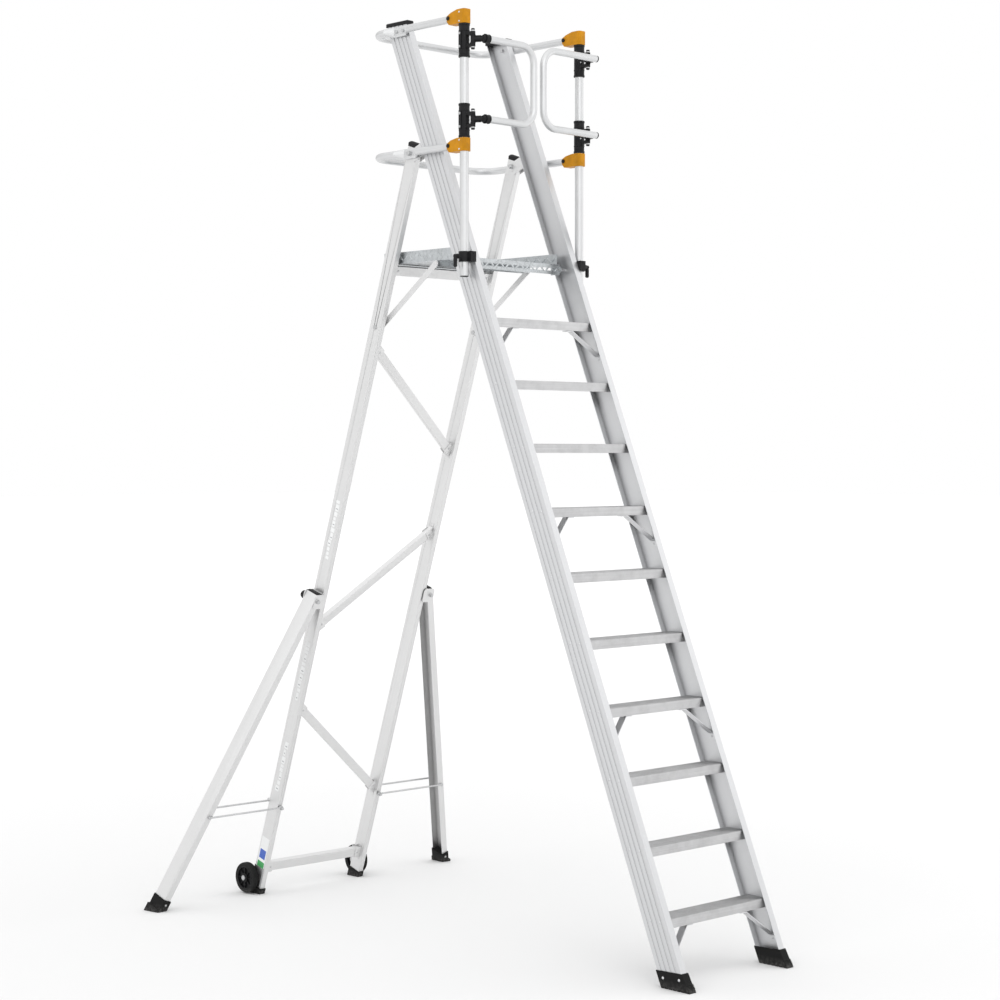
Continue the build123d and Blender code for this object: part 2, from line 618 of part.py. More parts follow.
def platform_deck():
    """Folded pan: deck plate, front lip, side skirts with ears for the hinge pins, and toe boards."""
    deck = span(-DECK_HALF, DECK_HALF, DECK_FRONT, DECK_REAR, DECK_TOP - DECK_SKIN, DECK_TOP)
    lip_rear = DECK_FRONT + DECK_SKIN
    deck += span(-DECK_HALF, DECK_HALF, DECK_FRONT, lip_rear, DECK_TOP - DECK_LIP, DECK_TOP)
    deck += span(-DECK_HALF, DECK_HALF, DECK_REAR - DECK_SKIN, DECK_REAR, DECK_TOP, DECK_TOP + TOE_BOARD)
    for sign in (-1, 1):
        x0, x1 = sorted((sign * (DECK_HALF - DECK_SKIN), sign * DECK_HALF))
        deck += span(x0, x1, TOE_FRONT, DECK_REAR, DECK_TOP - 1, DECK_TOP + TOE_BOARD)
        deck += span(x0, x1, DECK_FRONT, SKIRT_REAR, DECK_TOP - DECK_LIP, DECK_TOP)
        deck += rod((x0, DECK_HINGE_Y, DECK_HINGE_Z), (x1, DECK_HINGE_Y, DECK_HINGE_Z), HINGE_EAR)
    bore = rod((-300, DECK_HINGE_Y, DECK_HINGE_Z), (300, DECK_HINGE_Y, DECK_HINGE_Z), BOLT_R + RUNNING)
    return deck - bore


def deck_stiffener():
    """Channel across the deck's underside."""
    half = DECK_HALF - 6
    y0, y1 = STRUT_DECK[1] - 20, STRUT_DECK[1] + 20
    top = DECK_TOP - DECK_SKIN
    bar = span(-half, half, y0, y1, top - 22, top)
    return bar - span(-half - 1, half + 1, y0 + 2.5, y1 - 2.5, top - 23, top - 2.5)


def platform_strut():
    """Right flat strut from the rear leg up to the deck, pivoted at the leg."""
    run = STRUT_LEG[1] - STRUT_DECK[1]
    rise = STRUT_DECK[2] - STRUT_LEG[2]
    length = hypot(run, rise)
    bar = span(STRUT_X, STRUT_X + STRUT_THICK, 0, length, -STRUT_HALF_WIDTH, STRUT_HALF_WIDTH)
    bar += rod((STRUT_X, 0, 0), (STRUT_X + STRUT_THICK, 0, 0), STRUT_HALF_WIDTH + 2)
    bar += rod((STRUT_X, length, 0), (STRUT_X + STRUT_THICK, length, 0), STRUT_HALF_WIDTH)
    bar += rod((STRUT_X + 1, length, 0), (STRUT_X + STRUT_THICK + 0.8, length, 0), 7)
    bar -= rod((STRUT_X - 5, 0, 0), (STRUT_X + 9, 0, 0), 5 + RUNNING)
    angle = 180 - degrees(atan2(rise, run))
    return Pos(0, STRUT_LEG[1], STRUT_LEG[2]) * Rot(angle, 0, 0) * bar


def strut_pin():
    """Pin from the right leg through the strut's lower end."""
    y, z = STRUT_LEG[1], STRUT_LEG[2]
    pin = rod((STRUT_X - 2, y, z), (HALF_WIDTH + 2, y, z), 5)
    pin += rod((STRUT_X - 3.5, y, z), (STRUT_X - 0.2, y, z), 9)
    pin += rod((STRUT_X + STRUT_THICK + 0.2, y, z), (HALF_WIDTH - LEG_WIDTH - 0.1, y, z), 9)
    return pin + rod((HALF_WIDTH + 0.1, y, z), (HALF_WIDTH + 3.5, y, z), 9)


# ----------------------------------------------------------------------- gates


def gate_tube(start_x):
    """Right gate's D-shaped tube; start_x is where its two ends stop."""
    x1 = GATE_GAP + 1.5
    path = FilletPolyline(
        (start_x, GATE_TUBE_Y, GATE_TOP_Z),
        (x1, GATE_TUBE_Y, GATE_TOP_Z),
        (x1, GATE_TUBE_Y, GATE_BOTTOM_Z),
        (start_x, GATE_TUBE_Y, GATE_BOTTOM_Z),
        radius=GATE_BEND,
    )
    face = Plane(origin=(start_x, GATE_TUBE_Y, GATE_TOP_Z), z_dir=(-1, 0, 0)) * (
        Circle(GATE_TUBE_R) - Circle(GATE_TUBE_R - 2)
    )
    return sweep(face, path=path)


def knuckle(z):
    """Barrel that turns on the right hinge pin between the sleeve's lugs."""
    return rod((POST_X, GATE_HINGE_Y, z - 16.6), (POST_X, GATE_HINGE_Y, z + 16.6), 10)


def socket_arm(z):
    """Gate arm that ends in a ferrule round the tube's end."""
    arm = knuckle(z)
    arm += rod((POST_X, GATE_HINGE_Y, z), (POST_X - 24, GATE_TUBE_Y + 4, z), 9)
    arm += rod((POST_X - 18, GATE_TUBE_Y, z), (POST_X - 30, GATE_TUBE_Y, z), 13)
    arm += rod((POST_X - 28, GATE_TUBE_Y, z), (POST_X - 50, GATE_TUBE_Y, z), 17)
    arm -= rod((POST_X - 35, GATE_TUBE_Y, z), (POST_X - 60, GATE_TUBE_Y, z), GATE_TUBE_R + 0.1)
    return arm - rod((POST_X, GATE_HINGE_Y, z - 40), (POST_X, GATE_HINGE_Y, z + 40), 4 + RUNNING)


def saddle_arm(z):
    """Gate arm that ends in a saddle behind the tube, with a plug in the tube's open end."""
    arm = knuckle(z)
    arm += span(POST_X - 26, POST_X + 8, GATE_TUBE_Y + GATE_TUBE_R + 0.2, GATE_HINGE_Y - 4, z - 13, z + 13)
    arm += rod((POST_X + 6.2, GATE_TUBE_Y, z), (POST_X + 12, GATE_TUBE_Y, z), GATE_TUBE_R)
    arm += rod((POST_X + 11, GATE_TUBE_Y, z), (POST_X + 16, GATE_TUBE_Y, z), 7)
    arm += span(POST_X + 6.2, POST_X + 11, GATE_TUBE_Y, GATE_HINGE_Y - 8, z - 10, z + 10)
    return arm - rod((POST_X, GATE_HINGE_Y, z - 40), (POST_X, GATE_HINGE_Y, z + 40), 4 + RUNNING)


# ---------------------------------------------------------------------- export


def side_nodes(name, shape):
    """Name a right-hand shape and its mirror image."""
    return {name + "_right": shape, name + "_left": other_side(shape)}


def group(*shapes):
    """Separate solids that share one node."""
    return Compound(children=list(shapes))


def mirrored_group(shapes):
    """A list of right-hand solids with their mirror images, as one node."""
    return group(*shapes, *[other_side(shape) for shape in shapes])


def front_ladder_nodes():
    nodes = {}
    nodes.update(side_nodes("stile", stile()))
    for index, height in enumerate(TREADS):
        nodes["tread_%02d" % (index + 1)] = place_tread(height)
    braces = [corner_brace(TREADS[number - 1]) for number in BRACED_TREADS]
    nodes["tread_corner_braces"] = mirrored_group(braces)
    nodes.update(side_nodes("front_boot", front_boot()))
    nodes["stile_caps"] = mirrored_group([stile_cap()])
    nodes["top_rail"] = guard_rail(TOP_RAIL_CRUSH_Y, 34.0, TOP_RAIL_Z, TOP_RAIL_BOLTS, 4.0)
    nodes["knee_rail"] = guard_rail(PIVOT[1], 34.0, PIVOT[2], [PIVOT[1]], BOLT_R)
    nodes.update(side_nodes("post", post()))
    connectors = [rail_connector(TOP_RAIL_Z, True), rail_connector(PIVOT[2], False)]
    nodes["rail_connectors"] = mirrored_group(connectors)
    pins = connector_pins(TOP_RAIL_Z) + connector_pins(PIVOT[2])
    nodes["connector_pins"] = mirrored_group(pins)
    sleeves = [hinge_sleeve(z) for z in (GATE_TOP_Z, GATE_BOTTOM_Z)]
    nodes["hinge_sleeves"] = mirrored_group(sleeves)
    nodes["post_clamps"] = mirrored_group([post_clamp()])
    nodes["pivot_brackets"] = mirrored_group([pivot_bracket()])
    nodes["frame_pivot_pins"] = mirrored_group([leg_pivot_bolt(), platform_hinge_pin()])
    fittings = top_rail_bolts() + [gate_pin(z) for z in (GATE_TOP_Z, GATE_BOTTOM_Z)]
    nodes["gate_pins_and_rail_bolts"] = mirrored_group(fittings)
    nodes["ladder_rivets"] = mirrored_group(ladder_rivets())
    return nodes


def rear_frame_nodes():
    nodes = {}
    nodes.update(side_nodes("rear_leg", rear_leg()))
    nodes["platform_rest_bar"] = cross_bar(2858.0, 2858.0, 40.0)
    nodes["brace_upper"] = cross_bar(2520.0, 2070.0, BRACE_HEIGHT)
    nodes["brace_middle"] = cross_bar(1269.0, 1693.0, BRACE_HEIGHT)
    nodes["brace_lower"] = cross_bar(892.0, 443.0, BRACE_HEIGHT)
    nodes["bottom_bar"] = cross_bar(121.0, 121.0, 42.0)
    nodes["leg_shoes"] = mirrored_group([leg_shoe()])
    nodes["leg_caps_and_knobs"] = mirrored_group([leg_cap(), hinge_knob()])
    nodes["wheel_brackets"] = mirrored_group([wheel_bracket()])
    nodes["wheel_axles"] = mirrored_group([wheel_axle()])
    nodes["outrigger_brackets"] = mirrored_group([outrigger_bracket()])
    nodes["rear_frame_bolts"] = mirrored_group([outrigger_bolt(), stay_bolt(), strut_pin()])
    return nodes


def moving_nodes():
    nodes = {}
    nodes.update(side_nodes("wheel", wheel_core()))
    nodes.update(side_nodes("tyre", tyre()))
    nodes.update(side_nodes("outrigger", outrigger()))
    nodes.update(side_nodes("outrigger_boot", outrigger_boot()))
    stays = stay_rods()
    nodes["stay_rods_right"] = group(*stays)
    nodes["stay_rods_left"] = group(*[other_side(stay) for stay in stays])
    nodes["platform_deck"] = platform_deck()
    nodes["deck_stiffener"] = deck_stiffener()
    nodes["platform_struts"] = mirrored_group([platform_strut()])
    nodes["gate_right"] = gate_tube(POST_X + 6)
    nodes["gate_left"] = other_side(gate_tube(POST_X - 36))
    heights = (GATE_TOP_Z, GATE_BOTTOM_Z)
    nodes["gate_arms_right"] = group(*[saddle_arm(z) for z in heights])
    nodes["gate_arms_left"] = group(*[other_side(socket_arm(z)) for z in heights])
    nodes.update(side_nodes("clamp_lever", clamp_lever()))
    return nodes


os.makedirs("parts", exist_ok=True)
for build_group in (front_ladder_nodes, rear_frame_nodes, moving_nodes):
    for node, shape in build_group().items():
        export_step(Pos(0, -MID_Y, 0) * shape, "parts/%s.step" % node)
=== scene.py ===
import json
import math
import random

import bmesh
import bpy
from mathutils import Matrix, Vector


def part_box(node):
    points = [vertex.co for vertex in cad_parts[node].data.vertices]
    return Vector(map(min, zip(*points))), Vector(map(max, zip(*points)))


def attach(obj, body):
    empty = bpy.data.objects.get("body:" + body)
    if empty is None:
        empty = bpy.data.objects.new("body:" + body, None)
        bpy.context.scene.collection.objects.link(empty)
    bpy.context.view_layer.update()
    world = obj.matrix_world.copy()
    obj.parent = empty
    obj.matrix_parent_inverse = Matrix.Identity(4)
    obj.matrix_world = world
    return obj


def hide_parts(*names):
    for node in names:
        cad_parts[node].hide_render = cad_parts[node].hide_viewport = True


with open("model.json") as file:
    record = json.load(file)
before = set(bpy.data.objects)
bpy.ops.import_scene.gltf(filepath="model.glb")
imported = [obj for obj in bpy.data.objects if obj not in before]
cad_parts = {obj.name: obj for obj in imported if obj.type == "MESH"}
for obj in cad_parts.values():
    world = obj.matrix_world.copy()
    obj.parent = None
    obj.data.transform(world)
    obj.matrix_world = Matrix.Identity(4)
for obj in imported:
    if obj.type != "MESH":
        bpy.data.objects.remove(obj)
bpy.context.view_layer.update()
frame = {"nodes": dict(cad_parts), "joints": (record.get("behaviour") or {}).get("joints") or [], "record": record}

# Folding mobile platform ladder. Metres, +X to the climber's right, +Y towards the wheels, +Z up.

random.seed(7)

# Where the stiles' and the rear legs' front faces meet the floor, and how far they lean
FRONT_FOOT_Y = -1.30925
FRONT_TILT = 22.2
REAR_FOOT_Y = 1.19675
REAR_TILT = 18.3
HALF_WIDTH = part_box("stile_right")[1].x
LEG_WIDTH = 0.025
LEG_DEPTH = 0.065
X_AXIS = Vector((1, 0, 0))
Y_AXIS = Vector((0, 1, 0))
Z_AXIS = Vector((0, 0, 1))
SIDES = (("left", -1), ("right", 1))
SIDE_NAMES = {side: word for word, side in SIDES}
JOINTS = {joint["name"]: joint for joint in frame["joints"]}
# Heights of the gates' hinge pins, and the treads that have corner braces
GATE_HEIGHTS = (3.598, 3.282)
BRACED_TREADS = (1, 4, 7, 10)
# An outrigger's foot from the middle, its hinge up the leg, and how far it stands below the leg's foot
OUTRIGGER_FOOT_X = 0.831
OUTRIGGER_HINGE_UP = 1.399
OUTRIGGER_FOOT_DROP = 0.011


def leaning(foot_y, tilt):
    """Frame of a post that stands on the floor at foot_y and leans along Y; its own Z runs up the post."""
    return Matrix.Translation((0, foot_y, 0)) @ Matrix.Rotation(math.radians(tilt), 4, "X")


FRONT = leaning(FRONT_FOOT_Y, -FRONT_TILT)
REAR = leaning(REAR_FOOT_Y, REAR_TILT)
OUTRIGGER_SPREAD = math.atan2(
    OUTRIGGER_FOOT_X - JOINTS["outrigger_right_fold"]["pos_m"][0],
    OUTRIGGER_HINGE_UP + OUTRIGGER_FOOT_DROP,
)


def behind_stile_face(depth, level):
    """Y of a point on the stiles, depth behind their leaning front face and level above the floor."""
    tilt = math.radians(FRONT_TILT)
    return FRONT_FOOT_Y + (depth + level * math.sin(tilt)) / math.cos(tilt)


def outrigger_frame(side):
    """Frame of an outrigger: its own Z runs up the channel from the foot to the hinge at its origin."""
    pivot = Vector(JOINTS["outrigger_%s_fold" % SIDE_NAMES[side]]["pos_m"])
    lean = Matrix.Rotation(math.radians(REAR_TILT), 4, "X")
    return Matrix.Translation(pivot) @ lean @ Matrix.Rotation(-side * OUTRIGGER_SPREAD, 4, "Y")


# ------------------------------------------------------------------ materials


class Shader:
    """A node material while it is being put together."""

    def __init__(self, name):
        self.material = bpy.data.materials.new(name)
        self.material.use_nodes = True
        self.tree = self.material.node_tree
        self.surface = self.tree.nodes["Principled BSDF"]
        self.place = self.node("ShaderNodeTexCoord").outputs["Object"]

    def node(self, kind, **settings):
        made = self.tree.nodes.new(kind)
        for key, value in settings.items():
            setattr(made, key, value)
        return made

    def feed(self, socket, value):
        """Link an output to a socket, or set the socket to a plain value."""
        if isinstance(value, bpy.types.NodeSocket):
            self.tree.links.new(value, socket)
        else:
            socket.default_value = value

    def set(self, **values):
        """Set constants on the surface's own sockets; an underscore stands for a space."""
        for key, value in values.items():
            self.surface.inputs[key.replace("_", " ")].default_value = value

    def along(self, direction, across, lengthwise):
        """Coordinates turned so that direction is Z, then scaled, for a grain that runs along it."""
        turn = Vector(direction).rotation_difference(Z_AXIS).to_euler()
        rotated = self.node("ShaderNodeMapping")
        self.feed(rotated.inputs["Vector"], self.place)
        rotated.inputs["Rotation"].default_value = turn
        scaled = self.node("ShaderNodeMapping")
        self.feed(scaled.inputs["Vector"], rotated.outputs["Vector"])
        scaled.inputs["Scale"].default_value = (across, across, lengthwise)
        return scaled.outputs["Vector"]

    def noise(self, scale, detail=3.0, rough=0.55, place=None):
        made = self.node("ShaderNodeTexNoise")
        self.feed(made.inputs["Vector"], place or self.place)
        made.inputs["Scale"].default_value = scale
        made.inputs["Detail"].default_value = detail
        made.inputs["Roughness"].default_value = rough
        return made.outputs["Fac"]

    def remap(self, value, low, high, to_low, to_high):
        made = self.node("ShaderNodeMapRange")
        self.feed(made.inputs["Value"], value)
        for key, number in (("From Min", low), ("From Max", high), ("To Min", to_low), ("To Max", to_high)):
            made.inputs[key].default_value = number
        return made.outputs["Result"]

    def math(self, operation, first, second):
        made = self.node("ShaderNodeMath", operation=operation)
        self.feed(made.inputs[0], first)
        self.feed(made.inputs[1], second)
        return made.outputs[0]

    def mix(self, share, first, second):
        """Blend two colours."""
        made = self.node("ShaderNodeMix", data_type="RGBA")
        self.feed(made.inputs["Factor"], share)
        for socket, value in ((made.inputs[6], first), (made.inputs[7], second)):
            self.feed(socket, value if isinstance(value, bpy.types.NodeSocket) else (*value, 1.0))
        return made.outputs[2]

    def edges(self, radius, low=0.80, high=0.99):
        """1 on edges that are sharper than radius, 0 on flat faces."""
        rounded = self.node("ShaderNodeBevel", samples=4)
        rounded.inputs["Radius"].default_value = radius
        flat = self.node("ShaderNodeNewGeometry")
        dot = self.node("ShaderNodeVectorMath", operation="DOT_PRODUCT")
        self.feed(dot.inputs[0], rounded.outputs["Normal"])
        self.feed(dot.inputs[1], flat.outputs["Normal"])
        return self.remap(dot.outputs["Value"], low, high, 1.0, 0.0)

    def hollow(self, reach):
        """Ambient-occlusion mask for painted shade: 1 deep in grooves and channels narrower than reach, 0 on open
        faces.
        """
        shade = self.node("ShaderNodeAmbientOcclusion", samples=6, only_local=True)
        shade.inputs["Distance"].default_value = reach
        return self.remap(shade.outputs["AO"], 0.35, 0.98, 1.0, 0.0)

    def height(self):
        """How far above the floor, in metres, in the ladder's own frame."""
        split = self.node("ShaderNodeSeparateXYZ")
        self.feed(split.inputs["Vector"], self.place)
        return split.outputs["Z"]

    def bump(self, height, strength, distance):
        made = self.node("ShaderNodeBump")
        made.inputs["Strength"].default_value = strength
        made.inputs["Distance"].default_value = distance
        self.feed(made.inputs["Height"], height)
        self.feed(self.surface.inputs["Normal"], made.outputs["Normal"])

    def colour(self, value):
        self.feed(self.surface.inputs["Base Color"], value)

    def roughness(self, value):
        self.feed(self.surface.inputs["Roughness"], value)


def tone(colour, factor):
    return tuple(min(1.0, channel * factor) for channel in colour)


def extruded_metal(name, colour, grain, rough=0.42):
    """Anodised extrusion: fine die lines along grain, cloudy tone, painted shade in grooves and channels, worn
    edges, scuffs.
    """
    shader = Shader(name)
    lines = shader.noise(1.0, 4.0, 0.6, shader.along(grain, 260.0, 1.4))
    cloud = shader.noise(5.0, 4.0)
    scuffs = shader.remap(shader.noise(42.0, 6.0, 0.7), 0.60, 0.74, 0.0, 1.0)
    shade = shader.mix(shader.remap(lines, 0.3, 0.7, 0.0, 1.0), tone(colour, 0.96), tone(colour, 1.03))
    shade = shader.mix(shader.remap(cloud, 0.35, 0.65, 0.0, 0.30), shade, tone(colour, 0.93))
    shade = shader.mix(shader.math("MULTIPLY", scuffs, 0.22), shade, tone(colour, 1.08))
    # Painted shade: grooves and the insides of channels are darkened towards 0.45 and 0.50 of the tone by
    # ambient-occlusion masks.
    shade = shader.mix(shader.math("MULTIPLY", shader.hollow(0.012), 0.75), shade, tone(colour, 0.45))
    shade = shader.mix(shader.math("MULTIPLY", shader.hollow(0.110), 0.45), shade, tone(colour, 0.50))
    worn = shader.edges(0.0014)
    shader.colour(shader.mix(shader.math("MULTIPLY", worn, 0.4), shade, tone(colour, 1.08)))
    dull = shader.remap(lines, 0.3, 0.7, rough - 0.05, rough + 0.07)
    dull = shader.math("ADD", dull, shader.math("MULTIPLY", scuffs, -0.08))
    shader.roughness(shader.math("ADD", dull, shader.math("MULTIPLY", worn, -0.12)))
    shader.bump(lines, 0.12, 0.0002)
    shader.set(Metallic=1.0)
    return shader.material


def drawn_tube_metal(name, colour):
    """Bright drawn tube: soft lengthwise haze, small handling marks."""
    shader = Shader(name)
    haze = shader.noise(14.0, 4.0)
    marks = shader.remap(shader.noise(120.0, 5.0, 0.7), 0.62, 0.75, 0.0, 1.0)
    shade = shader.mix(shader.remap(haze, 0.3, 0.7, 0.0, 1.0), tone(colour, 0.96), tone(colour, 1.03))
    shader.colour(shader.mix(shader.math("MULTIPLY", marks, 0.3), shade, tone(colour, 0.88)))
    shader.roughness(shader.remap(haze, 0.3, 0.7, 0.36, 0.46))
    shader.bump(shader.noise(700.0, 3.0), 0.06, 0.0002)
    shader.set(Metallic=1.0)
    return shader.material


def tread_metal(name, colour):
    """Mill-finish tread: fine grip lines, painted shade on the up-facing tops, grime in patches, rubbed edges."""
    shader = Shader(name)
    grip = shader.node("ShaderNodeTexWave", wave_type="BANDS", bands_direction="X")
    shader.feed(grip.inputs["Vector"], shader.place)
    grip.inputs["Scale"].default_value = 95.0
    grip.inputs["Distortion"].default_value = 0.4
    lines = shader.noise(1.0, 4.0, 0.6, shader.along(X_AXIS, 300.0, 2.0))
    grime = shader.remap(shader.noise(16.0, 6.0, 0.65), 0.42, 0.68, 0.0, 1.0)
    shade = shader.mix(shader.remap(lines, 0.3, 0.7, 0.0, 1.0), tone(colour, 0.90), tone(colour, 1.05))
    shade = shader.mix(shader.math("MULTIPLY", grime, 0.30), shade, tone(colour, 0.72))
    up = shader.node("ShaderNodeNewGeometry").outputs["Normal"]
    facing = shader.node("ShaderNodeSeparateXYZ")
    shader.feed(facing.inputs["Vector"], up)
    top = shader.remap(facing.outputs["Z"], 0.7, 0.95, 0.0, 1.0)
    # Painted shade: faces that point up are darkened to about half the tread tone; the same mask also puts the
    # grip lines on them.
    shade = shader.mix(shader.math("MULTIPLY", top, 0.90), shade, tone(colour, 0.52))
    worn = shader.edges(0.0012)
    shader.colour(shader.mix(shader.math("MULTIPLY", worn, 0.6), shade, tone(colour, 1.2)))
    shader.roughness(shader.remap(grime, 0.0, 1.0, 0.40, 0.58))
    relief = shader.math("ADD", shader.math("MULTIPLY", grip.outputs["Fac"], top), lines)
    shader.bump(relief, 0.30, 0.0004)
    shader.set(Metallic=1.0)
    return shader.material


def plate_metal(name, colour):
    """Rolled plate: mottled mill finish, polished where raised edges are walked on."""
    shader = Shader(name)
    mottle = shader.noise(60.0, 5.0, 0.6)
    patches = shader.noise(9.0, 3.0)
    shade = shader.mix(shader.remap(mottle, 0.35, 0.65, 0.0, 1.0), tone(colour, 0.80), tone(colour, 1.08))
    shade = shader.mix(shader.remap(patches, 0.35, 0.65, 0.0, 0.4), shade, tone(colour, 0.78))
    worn = shader.edges(0.0010)
    shader.colour(shader.mix(shader.math("MULTIPLY", worn, 0.8), shade, tone(colour, 1.25)))
    shader.roughness(shader.remap(mottle, 0.3, 0.7, 0.22, 0.42))
    shader.bump(mottle, 0.15, 0.0003)
    shader.set(Metallic=1.0)
    return shader.material


def zinc_steel(name, colour):
    """Zinc-plated steel: spangled tone, smooth but not mirror bright, rubbed edges."""
    shader = Shader(name)
    spangle = shader.node("ShaderNodeTexVoronoi")
    shader.feed(spangle.inputs["Vector"], shader.place)
    spangle.inputs["Scale"].default_value = 260.0
    cloud = shader.noise(30.0, 4.0)
    grains = shader.remap(spangle.outputs["Distance"], 0.0, 0.8, 0.0, 1.0)
    shade = shader.mix(grains, tone(colour, 0.90), tone(colour, 1.06))
    shade = shader.mix(shader.remap(cloud, 0.4, 0.7, 0.0, 0.4), shade, tone(colour, 0.74))
    shader.colour(shader.mix(shader.math("MULTIPLY", shader.edges(0.0008), 0.6), shade, tone(colour, 1.25)))
    shader.roughness(shader.remap(cloud, 0.3, 0.7, 0.26, 0.42))
    shader.bump(cloud, 0.08, 0.0003)
    shader.set(Metallic=1.0)
    return shader.material


def moulded_plastic(name, colour, rough, grain=900.0, edge_tone=2.2, dust=(0.20, 0.19, 0.18)):
    """Moulded plastic: fine spark-eroded grain, paler rubbed edges, a little dust."""
    shader = Shader(name)
    pores = shader.noise(grain, 3.0, 0.6)
    tint = shader.noise(25.0, 4.0)
    shade = shader.mix(shader.remap(tint, 0.35, 0.65, 0.0, 1.0), tone(colour, 0.86), tone(colour, 1.14))
    shade = shader.mix(shader.remap(shader.noise(70.0, 6.0, 0.7), 0.58, 0.78, 0.0, 0.10), shade, dust)
    worn = shader.edges(0.0010)
    shader.colour(shader.mix(shader.math("MULTIPLY", worn, 0.35), shade, tone(colour, edge_tone)))
    dull = shader.remap(tint, 0.3, 0.7, rough - 0.05, rough + 0.06)
    shader.roughness(shader.math("ADD", dull, shader.math("MULTIPLY", worn, -0.10)))
    shader.bump(pores, 0.22, 0.0003)
    shader.set(IOR=1.49, Specular_IOR_Level=0.22)
    return shader.material


def rubber(name, colour, rough=0.72):
    """Matte rubber: grainy skin, scuffed edges, floor dust low down."""
    shader = Shader(name)
    skin = shader.noise(650.0, 4.0, 0.65)
    tint = shader.noise(35.0, 5.0)
    low = shader.remap(shader.height(), 0.0, 0.035, 1.0, 0.0)
    dust = shader.math("MULTIPLY", low, shader.remap(shader.noise(90.0, 6.0, 0.7), 0.42, 0.70, 0.05, 0.65))
    shade = shader.mix(shader.remap(tint, 0.35, 0.65, 0.0, 1.0), tone(colour, 0.80), tone(colour, 1.30))
    shade = shader.mix(dust, shade, (0.15, 0.145, 0.14))
    worn = shader.edges(0.0014)
    shader.colour(shader.mix(shader.math("MULTIPLY", worn, 0.45), shade, tone(colour, 2.4)))
    shader.roughness(shader.remap(tint, 0.3, 0.7, rough - 0.06, rough + 0.08))
    shader.bump(skin, 0.30, 0.0004)
    shader.set(IOR=1.50, Specular_IOR_Level=0.20)
    return shader.material


def vinyl(name, colour):
    """Printed sticker: smooth film with faint ripples, slightly soiled."""
    shader = Shader(name)
    soil = shader.remap(shader.noise(80.0, 5.0, 0.65), 0.50, 0.75, 0.0, 0.22)
    shader.colour(shader.mix(soil, colour, tone(colour, 0.72)))
    shader.roughness(shader.remap(shader.noise(40.0, 3.0), 0.3, 0.7, 0.28, 0.42))
    shader.bump(shader.noise(120.0, 2.0), 0.05, 0.0002)
    shader.set(IOR=1.46)
    return shader.material


FRONT_GRAIN = FRONT.to_3x3() @ Z_AXIS
REAR_GRAIN = REAR.to_3x3() @ Z_AXIS
OUTRIGGER_GRAIN = {side: outrigger_frame(side).to_3x3() @ Z_AXIS for _, side in SIDES}

STILE_COLOUR = (0.69, 0.695, 0.705)
FRAME_COLOUR = (0.755, 0.755, 0.755)
TREAD_COLOUR = (0.61, 0.61, 0.615)
TUBE_COLOUR = (0.67, 0.675, 0.68)
PLATE_COLOUR = (0.58, 0.605, 0.62)
STEEL_COLOUR = (0.58, 0.585, 0.59)
BLACK = (0.008, 0.008, 0.009)
RUBBER_BLACK = (0.007, 0.007, 0.007)
AMBER = (0.53, 0.225, 0.001)

MATERIALS = {
    "stile": extruded_metal("stile_aluminium", STILE_COLOUR, FRONT_GRAIN),
    "leg": extruded_metal("leg_aluminium", FRAME_COLOUR, REAR_GRAIN),
    "bar": extruded_metal("bar_aluminium", FRAME_COLOUR, X_AXIS),
    "outrigger_left": extruded_metal("outrigger_left_aluminium", FRAME_COLOUR, OUTRIGGER_GRAIN[-1]),
    "outrigger_right": extruded_metal("outrigger_right_aluminium", FRAME_COLOUR, OUTRIGGER_GRAIN[1]),
    "tread": tread_metal("tread_aluminium", TREAD_COLOUR),
    "tube": drawn_tube_metal("rail_aluminium", TUBE_COLOUR),
    "plate": plate_metal("chequer_aluminium", PLATE_COLOUR),
    "steel": zinc_steel("zinc_steel", STEEL_COLOUR),
    "black": moulded_plastic("black_plastic", BLACK, 0.42),
    "amber": moulded_plastic("amber_plastic", AMBER, 0.42, 700.0, 1.12, (0.46, 0.22, 0.02)),
    "rubber": rubber("boot_rubber", RUBBER_BLACK),
    "wheel": moulded_plastic("wheel_plastic", BLACK, 0.50, 600.0),
    "tyre": rubber("tyre_rubber", (0.013, 0.013, 0.013), 0.66),
    "white_vinyl": vinyl("white_vinyl", (0.86, 0.87, 0.87)),
    "grey_vinyl": vinyl("grey_vinyl", (0.45, 0.46, 0.47)),
    "blue_vinyl": vinyl("blue_vinyl", (0.055, 0.13, 0.52)),
    "green_vinyl": vinyl("green_vinyl", (0.06, 0.36, 0.11)),
}

# Which material each material slot of the record takes, apart from the nodes named below
SLOT_MATERIALS = {
    "stile_extrusion": "stile",
    "tread_extrusion": "tread",
    "frame_extrusion": "bar",
    "rail_tube": "tube",
    "chequer_plate": "plate",
    "bright_steel": "steel",
    "black_plastic": "black",
    "amber_plastic": "amber",
    "black_rubber": "rubber",
    "wheel_plastic": "wheel",
    "tyre_rubber": "tyre",
}
NODE_MATERIALS = {
    "rear_leg_left": "leg",
    "rear_leg_right": "leg",
    "outrigger_left": "outrigger_left",
    "outrigger_right": "outrigger_right",
    "ladder_rivets": "stile",
    "tread_corner_braces": "stile",
    "platform_struts": "bar",
    "outrigger_brackets": "leg",
    "pivot_brackets": "leg",
}
EDGE_ROUNDING = {
    "stile_extrusion": 0.0006,
    "tread_extrusion": 0.0005,
    "frame_extrusion": 0.0015,
    "chequer_plate": 0.0008,
    "black_plastic": 0.0010,
    "amber_plastic": 0.0020,
    "black_rubber": 0.0020,
    "bright_steel": 0.0005,
}


